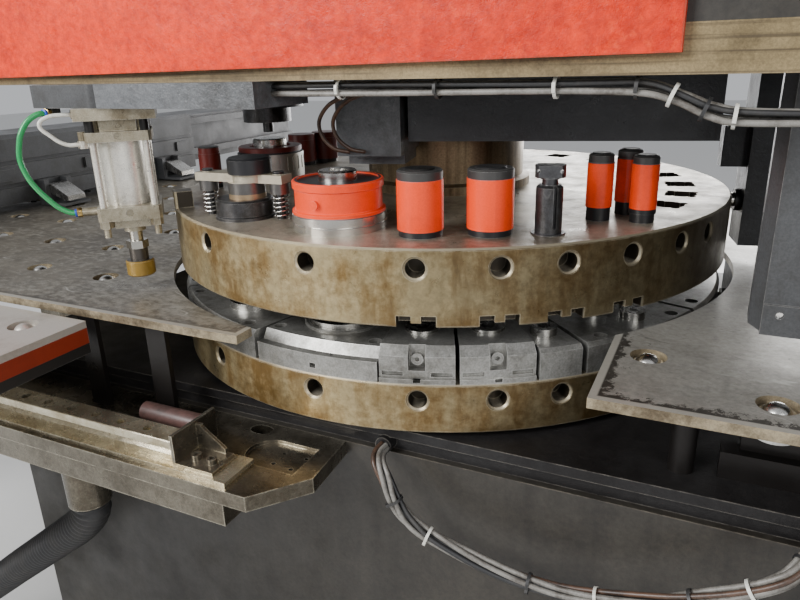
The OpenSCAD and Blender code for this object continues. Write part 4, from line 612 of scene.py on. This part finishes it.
def tool_bands(foot, orange):
    """Bands of a covered tool: its seat, black foot, orange cover and dark cap."""
    return [(DISC_TOP, (0.32, 0.26, 0.18), 0.9, 0.3), (DISC_TOP + foot, NEAR_BLACK, 0.2, 0.35),
            (DISC_TOP + orange, TOOL_ORANGE, 0.0, 0.34),
            (None, (0.052, 0.050, 0.048), 0.3, 0.42)]


def make_materials():
    """Every finish of the machine, by name."""
    # Tool covers left of this X are painted dark red as shade
    left_shade = (-0.06, DARK_RED)
    made = [
        frame_plate(), orange_cover(), beam_paint(), turret_metal(), hold_down_metal(),
        table_metal("left table steel", (0.18, 0.160, 0.128), (0.078, 0.066, 0.050), 0.55,
                    0.5, GAP[0]),
        table_metal("right table steel", (0.33, 0.315, 0.282), (0.21, 0.195, 0.168), 0.30,
                    0.95, GAP[1]),
        banded("covered tools", tool_bands(0.0082, 0.0720), left_shade),
        banded("slim tools", tool_bands(0.0182, 0.0770), left_shade),
        banded("large tool", [
            (DISC_TOP + 0.0222, (0.60, 0.58, 0.54), 0.9, 0.24),
            (None, TOOL_ORANGE, 0.0, 0.34)], sunk=(-0.0046, -0.379, 0.0585)),
        banded("ram tool", [
            (DISC_TOP + 0.0530, (0.50, 0.49, 0.46), 0.9, 0.30),
            (DISC_TOP + 0.0560, NEAR_BLACK, 0.1, 0.5), (None, DARK_RED, 0.0, 0.4)]),
        banded("forming punch", [
            (DISC_TOP + 0.0362, (0.42, 0.31, 0.19), 0.7, 0.4),
            (DISC_TOP + 0.0525, (0.16, 0.155, 0.15), 0.8, 0.3),
            (DISC_TOP + 0.0652, (0.44, 0.40, 0.31), 0.5, 0.4), (None, NEAR_BLACK, 0.2, 0.35)]),
        banded("hold-down rod", [
            (0.9795, (0.27, 0.165, 0.030), 0.15, 0.30), (0.9985, (0.10, 0.09, 0.08), 0.8, 0.35),
            (None, (0.55, 0.53, 0.48), 1.0, 0.22)]),
        banded("side tables", [
            (0.8835, (0.012, 0.011, 0.010), 0.0, 0.5), (0.9075, (0.22, 0.022, 0.006), 0.0, 0.42),
            (None, (0.50, 0.475, 0.43), 0.5, 0.42)]),
        *(worn_metal(*row) for row in METALS), *(paint(*row) for row in PAINTS)]
    return {material.name: material for material in made}


NODE_FINISH = {
    "side_plates": "dark frame paint", "base_plate": "black deck paint",
    "lower_deck": "black deck paint", "upper_deck": "rough black paint",
    "arm_skin": "dark frame paint", "side_covers": "orange cover paint",
    "turret_beam": "beam paint", "bearing_housings": "bed iron",
    "spindle_bearings": "bright steel", "upper_turret": "turret steel",
    "upper_spindle": "spindle steel", "lower_turret": "turret steel",
    "lower_spindle": "spindle steel", "drive_shaft": "bright steel",
    "turret_motor": "grey sheet paint", "drive_chains": "dark steel",
    "ram_cylinder": "rough black paint", "ram": "dark steel",
    "b_tool_guides": "covered tools", "b1_punch": "dark steel", "b2_punch": "dark steel",
    "a_tool_guides": "slim tools", "a1_punch": "dark steel", "a2_punch": "dark steel",
    "a3_punch": "dark steel", "t_tool_guide": "dark steel", "t_punch": "dark steel",
    "d_tool_guide": "large tool", "d_punch": "bright steel", "form_tool_guide": "dark steel",
    "form_punch": "forming punch", "form_springs": "bright steel",
    "ram_tool_guide": "ram tool", "ram_tool_punch": "bright steel",
    "die_holders": "holder steel", "d_die_holder": "holder steel",
    "b_die_holders": "holder steel", "dies": "bright steel", "left_table": "left table steel",
    "right_table": "right table steel", "ball_transfers": "bright steel",
    "wing_tables": "side tables", "cross_slide": "grey sheet paint",
    "carriage": "grey sheet paint", "clamp_jaws": "bright steel",
    "hold_down_bracket": "grey sheet paint", "hold_down_cylinder": "hold-down metal",
    "hold_down_rod": "hold-down rod", "index_units": "rough black paint",
    "upper_index_pin": "bright steel", "lower_index_pin": "bright steel",
    "index_guard": "grey sheet paint", "slide_beds": "bed iron",
    "linear_rails": "rail steel", "rail_stop": "bed iron", "air_tube_green": "green tube",
    "air_tube_white": "white tube", "wiring_harness": "black rubber",
    "vacuum_hose": "black rubber", "cable_loom": "cable grey",
}


def dress_stop(finishes):
    """The round buffer of the rail stop is brown plastic, its bracket steel."""
    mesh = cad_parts["rail_stop"].data
    mesh.materials.append(finishes["buffer plastic"])
    for face in mesh.polygons:
        around = [mesh.vertices[i].co for i in face.vertices]
        if min(v.x for v in around) < BUFFER_END:
            face.material_index = 1


def dress_nodes(finishes):
    for name, finish in NODE_FINISH.items():
        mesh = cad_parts[name].data
        mesh.materials.clear()
        mesh.materials.append(finishes[finish])


# Stage

def make_stage():
    bpy.ops.mesh.primitive_plane_add(size=40, location=(0, 0, 0))
    floor = bpy.context.object
    floor.name = "floor"
    material, _, shader = new_material("studio floor", 0.0, 0.7)
    shader.inputs["Base Color"].default_value = (0.66, 0.66, 0.65, 1)
    floor.data.materials.append(material)
    world = bpy.data.worlds.new("studio")
    bpy.context.scene.world = world
    world.use_nodes = True
    sky = world.node_tree.nodes["Background"]
    sky.inputs["Color"].default_value = (0.86, 0.88, 0.92, 1)
    sky.inputs["Strength"].default_value = 0.62
    # Name, place, aim, size and watts of each lamp
    for name, place, aim, size, power in [
            ("key light", (-1.9, -3.4, 2.9), (-0.1, -0.4, 0.95), 2.0, 230),
            ("fill light", (2.6, -3.2, 2.4), (0.3, -0.4, 0.9), 2.0, 55),
            ("back light", (0.3, 3.6, 1.7), (0.0, 0.0, 1.05), 2.8, 170)]:
        lamp = bpy.data.objects.new(name, bpy.data.lights.new(name, "AREA"))
        lamp.data.size = size
        lamp.data.energy = power
        lamp.location = place
        aim_line = Vector(aim) - Vector(place)
        lamp.rotation_euler = aim_line.to_track_quat("-Z", "Y").to_euler()
        bpy.context.collection.objects.link(lamp)


# Cords

GREEN_ROUTE = [(-0.409, -0.459, 1.061), (-0.420, -0.469, 1.061), (-0.432, -0.480, 1.070),
               (-0.441, -0.489, 1.084), (-0.450, -0.497, 1.100), (-0.457, -0.503, 1.118),
               (-0.461, -0.507, 1.144), (-0.458, -0.504, 1.170), (-0.453, -0.500, 1.185),
               (-0.446, -0.493, 1.198), (-0.438, -0.483, 1.206), (-0.434, -0.474, 1.207),
               (-0.434, -0.465, 1.207)]
WHITE_ROUTE = [(-0.402, -0.452, 1.161), (-0.4108, -0.4602, 1.161), (-0.420, -0.468, 1.166),
               (-0.428, -0.476, 1.176), (-0.434, -0.482, 1.184), (-0.436, -0.484, 1.191),
               (-0.433, -0.481, 1.198), (-0.424, -0.472, 1.203), (-0.4142, -0.4635, 1.204),
               (-0.404, -0.454, 1.204)]
HARNESS_ROUTE = [(0.090, -0.458, 0.770), (0.092, -0.476, 0.769), (0.100, -0.490, 0.765),
                 (0.112, -0.498, 0.752), (0.124, -0.502, 0.730), (0.141, -0.503, 0.706),
                 (0.165, -0.504, 0.690), (0.190, -0.504, 0.681), (0.245, -0.505, 0.667),
                 (0.309, -0.505, 0.659), (0.369, -0.505, 0.662), (0.454, -0.505, 0.684),
                 (0.500, -0.504, 0.705), (0.544, -0.502, 0.730), (0.575, -0.496, 0.752),
                 (0.592, -0.478, 0.768), (0.600, -0.458, 0.770)]
HOSE_ROUTE = [(-0.388, -0.560, 0.618), (-0.390, -0.560, 0.600), (-0.405, -0.560, 0.578),
              (-0.432, -0.560, 0.552), (-0.468, -0.560, 0.524), (-0.538, -0.560, 0.470),
              (-0.620, -0.560, 0.407), (-0.740, -0.560, 0.313), (-0.880, -0.560, 0.206),
              (-1.010, -0.560, 0.118), (-1.130, -0.560, 0.060), (-1.260, -0.560, 0.034),
              (-1.440, -0.560, 0.033), (-1.600, -0.560, 0.045), (-1.720, -0.560, 0.055)]
# Cables clipped under the arm, and the two leads to the sensor block
LOOM_ROUTE = [(-0.060, -0.428, 1.235), (0.100, -0.428, 1.235), (0.250, -0.428, 1.235),
              (0.350, -0.428, 1.235), (0.390, -0.428, 1.233), (0.420, -0.428, 1.223),
              (0.448, -0.428, 1.211), (0.480, -0.428, 1.206), (0.580, -0.428, 1.206)]
LEAD_ROUTES = [[(0.066, -0.428, 1.229), (0.044, -0.398, 1.228), (0.008, -0.374, 1.223),
                (-0.030, -0.352, 1.210), (-0.054, -0.338, 1.188), (-0.054, -0.330, 1.165),
                (-0.040, -0.322, 1.149), (-0.022, -0.311, 1.144)],
               [(0.084, -0.428, 1.229), (0.060, -0.396, 1.228), (0.024, -0.370, 1.223),
                (-0.012, -0.348, 1.209), (-0.034, -0.334, 1.187), (-0.033, -0.326, 1.165),
                (-0.018, -0.316, 1.149), (0.000, -0.306, 1.144)]]


# Material slot of each harness strand and each cable under the arm
STRAND_SLOTS = (0, 0, 1, 0, 0, 2, 1)
CABLE_SLOTS = (0, 1, 0, 1, 0)
# Which points of the smooth routes carry a cable tie, and the sizes of a tie
HARNESS_TIES = (34, 52, 72, 82, 94, 104, 118)
ARM_TIES = (6, 14, 24, 36, 47, 58, 68, 77)
TIE_WIDTH, TIE_THICKNESS, TIE_LOCK = 0.0036, 0.0011, 0.0028
# The hose and its ribs
HOSE_R = 0.030
RIB_PITCH, RIB_STEPS, RIB_DEPTH = 0.0096, 6, 0.0030


def smooth_route(route, parts):
    """Points of a smooth curve through a route, in equal parts between its points."""
    points = [Vector(p) for p in route]
    ends = [points[0] * 2 - points[1], *points, points[-1] * 2 - points[-2]]
    curve = []
    for a, b, c, d in zip(ends, ends[1:], ends[2:], ends[3:]):
        for i in range(parts):
            t = i / parts
            curve.append(0.5 * (2 * b + (c - a) * t + (2 * a - 5 * b + 4 * c - d) * t * t
                                + (3 * b - a - 3 * c + d) * t ** 3))
    curve.append(points[-1])
    return curve


def even_route(points, step):
    """The same line with its points a fixed step apart."""
    even, ahead = [points[0]], step
    for a, b in zip(points, points[1:]):
        reach = (b - a).length
        while ahead <= reach:
            even.append(a.lerp(b, ahead / reach))
            ahead += step
        ahead -= reach
    even.append(points[-1])
    return even


def cross_frames(points):
    """For each point of a line, two directions across it."""
    frames = []
    side = None
    for i in range(len(points)):
        ahead = (points[min(i + 1, len(points) - 1)] - points[max(i - 1, 0)]).normalized()
        if side is None:
            side = ahead.cross(Vector((0, 0, 1)))
            # A line that starts nearly upright takes its side from Y
            if side.length < 0.3:
                side = ahead.cross(Vector((0, 1, 0)))
        side = (side - ahead * side.dot(ahead)).normalized()
        frames.append((side, ahead.cross(side)))
    return frames


def sweep(name, lines, sides):
    """A mesh of closed tubes. Each line is a list of (point, radius)."""
    vertices, faces = [], []
    for line in lines:
        points = [p for p, r in line]
        start = len(vertices)
        for (point, radius), (side, across) in zip(line, cross_frames(points)):
            for k in range(sides):
                a = 2 * math.pi * k / sides
                vertices.append(point + radius * (math.cos(a) * side + math.sin(a) * across))
        for i in range(len(line) - 1):
            for k in range(sides):
                a, b = start + i * sides + k, start + i * sides + (k + 1) % sides
                faces.append((a, b, b + sides, a + sides))
        faces.append(tuple(start + k for k in reversed(range(sides))))
        last = start + (len(line) - 1) * sides
        faces.append(tuple(last + k for k in range(sides)))
    mesh = bpy.data.meshes.new(name)
    mesh.from_pydata(vertices, [], faces)
    mesh.validate()
    mesh.shade_smooth()
    made = bpy.data.objects.new(name, mesh)
    bpy.context.collection.objects.link(made)
    return made


def cable_strap(name, radius, point, directions):
    """A cable tie: a flat band closed by its small lock, set round a bundle."""
    bpy.ops.object.select_all(action="DESELECT")
    bpy.ops.mesh.primitive_cylinder_add(vertices=28, radius=radius, depth=TIE_WIDTH,
                                        end_fill_type="NOTHING")
    strap = bpy.context.object
    strap.name = name
    solid = strap.modifiers.new("thickness", "SOLIDIFY")
    solid.thickness = TIE_THICKNESS
    solid.offset = 1
    bpy.ops.object.modifier_apply(modifier="thickness")
    # The outer faces on the +X side are drawn out to make the lock
    bpy.ops.object.mode_set(mode="EDIT")
    bpy.ops.mesh.select_all(action="DESELECT")
    bpy.ops.mesh.select_mode(type="FACE")
    bpy.ops.object.mode_set(mode="OBJECT")
    for face in strap.data.polygons:
        middle = face.center
        face.select = (face.normal.xy.length > 0.9 and middle.xy.length > radius + 0.0005
                       and middle.x > radius * 0.985)
    bpy.ops.object.mode_set(mode="EDIT")
    bpy.ops.mesh.extrude_region_move(TRANSFORM_OT_translate={"value": (TIE_LOCK, 0, 0)})
    bpy.ops.mesh.select_all(action="SELECT")
    bpy.ops.mesh.normals_make_consistent(inside=False)
    bpy.ops.object.mode_set(mode="OBJECT")
    side, across = directions
    ahead = side.cross(across)
    turn = Matrix((side, across, ahead)).transposed().to_4x4()
    strap.data.transform(Matrix.Translation(point) @ turn)
    bpy.ops.object.shade_smooth_by_angle(angle=math.radians(35))
    return strap


def add_ties(name, spots, radius, points, frames, colours):
    """Cable ties round a bundle on the frame, in two finishes by turns."""
    for i, at in enumerate(spots):
        strap = cable_strap("%s_%d" % (name, i + 1), radius, points[at], frames[at])
        strap.data.materials.append(colours[i % 2])
        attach(strap, "frame")


def colour_strands(mesh, slots):
    """Gives the faces of each swept line their own material slot."""
    per_line = len(mesh.polygons) // len(slots)
    for face in mesh.polygons:
        face.material_index = slots[face.index // per_line]


def make_fittings(finishes):
    """Push-in fittings of the green tube: a brass hexagon and a blue release ring."""
    ends = smooth_route(GREEN_ROUTE, 5)
    for i, (at, ahead) in enumerate(((ends[0], ends[3] - ends[0]),
                                     (ends[-1], ends[-4] - ends[-1]))):
        for part, sides, radius, start, depth, finish in [
                ("nut", 6, 0.0078, 0.0002, 0.0072, "brass"),
                ("ring", 24, 0.0060, 0.0076, 0.0030, "blue ring")]:
            bpy.ops.object.select_all(action="DESELECT")
            bpy.ops.mesh.primitive_cylinder_add(vertices=sides, radius=radius, depth=depth)
            piece = bpy.context.object
            piece.name = "tube_%s_%d" % (part, i + 1)
            edge = piece.modifiers.new("edge", "BEVEL")
            edge.width = 0.0006
            edge.segments = 2
            edge.limit_method = "ANGLE"
            edge.angle_limit = math.radians(40)
            bpy.ops.object.modifier_apply(modifier="edge")
            turn = ahead.to_track_quat("Z", "Y").to_matrix().to_4x4()
            middle = at + ahead.normalized() * (start + depth / 2)
            piece.data.transform(Matrix.Translation(middle) @ turn)
            bpy.ops.object.shade_smooth_by_angle(angle=math.radians(35))
            piece.data.materials.append(finishes[finish])
            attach(piece, "frame")


def make_cords(finishes):
    """The two air tubes, the hanging harness and the vacuum hose."""
    for name, route, diameter, finish in [
            ("air_tube_green", GREEN_ROUTE, 0.008, "green tube"),
            ("air_tube_white", WHITE_ROUTE, 0.006, "white tube")]:
        points = smooth_route(route, 5)
        tube = sweep(name + "_run", [[(p, diameter / 2) for p in points]], 16)
        tube.data.materials.append(finishes[finish])
        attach(tube, "frame")
        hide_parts(name)

    points = smooth_route(HARNESS_ROUTE, 8)
    frames = cross_frames(points)
    strands = []
    for k in range(len(STRAND_SLOTS)):
        # Six strands wind round a slightly thicker one in the middle
        away, radius = (0.0066, 0.0033) if k < 6 else (0.0, 0.0034)
        line = []
        for i, (point, (side, across)) in enumerate(zip(points, frames)):
            a = 2 * math.pi * k / 6 + 0.055 * i + 0.35 * math.sin(0.09 * i + k)
            drift = away * (1 + 0.06 * math.sin(0.33 * i + 2 * k))
            line.append((point + drift * (math.cos(a) * side + math.sin(a) * across), radius))
        strands.append(line)
    harness = sweep("harness_wires", strands, 8)
    for finish in ("cable grey", "black rubber", "lead sheath"):
        harness.data.materials.append(finishes[finish])
    colour_strands(harness.data, STRAND_SLOTS)
    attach(harness, "frame")
    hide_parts("wiring_harness")
    add_ties("harness_tie", HARNESS_TIES, 0.0106, points, frames,
             (finishes["black rubber"], finishes["white tube"]))

    points = even_route(smooth_route(HOSE_ROUTE, 30), RIB_PITCH / RIB_STEPS)
    ribs = []
    for i, point in enumerate(points):
        groove = 0.5 + 0.5 * math.cos(2 * math.pi * i / RIB_STEPS)
        ribs.append((point, HOSE_R - RIB_DEPTH * groove))
    hose = sweep("hose_ribs", [ribs], 28)
    hose.data.materials.append(finishes["black rubber"])
    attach(hose, "frame")
    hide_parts("vacuum_hose")


def make_loom(finishes):
    """Separate cables under the arm with their ties, and the two thin leads."""
    points = smooth_route(LOOM_ROUTE, 10)
    frames = cross_frames(points)
    lines = []
    # Each cable's place in the bundle, its radius, and where its slight sway begins
    for side_way, rise, radius, wander in [
            (0.0065, 0.0045, 0.0034, 0.0), (-0.0005, 0.0050, 0.0034, 1.3),
            (-0.0066, 0.0030, 0.0030, 2.2), (0.0045, -0.0040, 0.0030, 3.1),
            (-0.0035, -0.0045, 0.0042, 4.0)]:
        line = []
        for i, (point, (side, across)) in enumerate(zip(points, frames)):
            sway = 0.0012 * math.sin(0.21 * i + wander)
            place = point + side * (side_way + sway) + across * (rise + 0.5 * sway)
            line.append((place, radius))
        lines.append(line)
    cables = sweep("arm_cables", lines, 10)
    cables.data.materials.append(finishes["cable grey"])
    cables.data.materials.append(finishes["black rubber"])
    colour_strands(cables.data, CABLE_SLOTS)
    add_ties("arm_tie", ARM_TIES, 0.0112, points, frames,
             (finishes["white tube"], finishes["black rubber"]))
    leads = sweep("sensor_leads", [[(p, 0.0028) for p in smooth_route(route, 6)]
                                   for route in LEAD_ROUTES], 10)
    leads.data.materials.append(finishes["lead sheath"])
    for piece in (cables, leads):
        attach(piece, "frame")
        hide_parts("cable_loom")


place_camera()
bpy.ops.object.select_all(action="DESELECT")
make_groups()
finishes = make_materials()
make_cords(finishes)
make_loom(finishes)
make_fittings(finishes)
dress_nodes(finishes)
dress_stop(finishes)
make_stage()
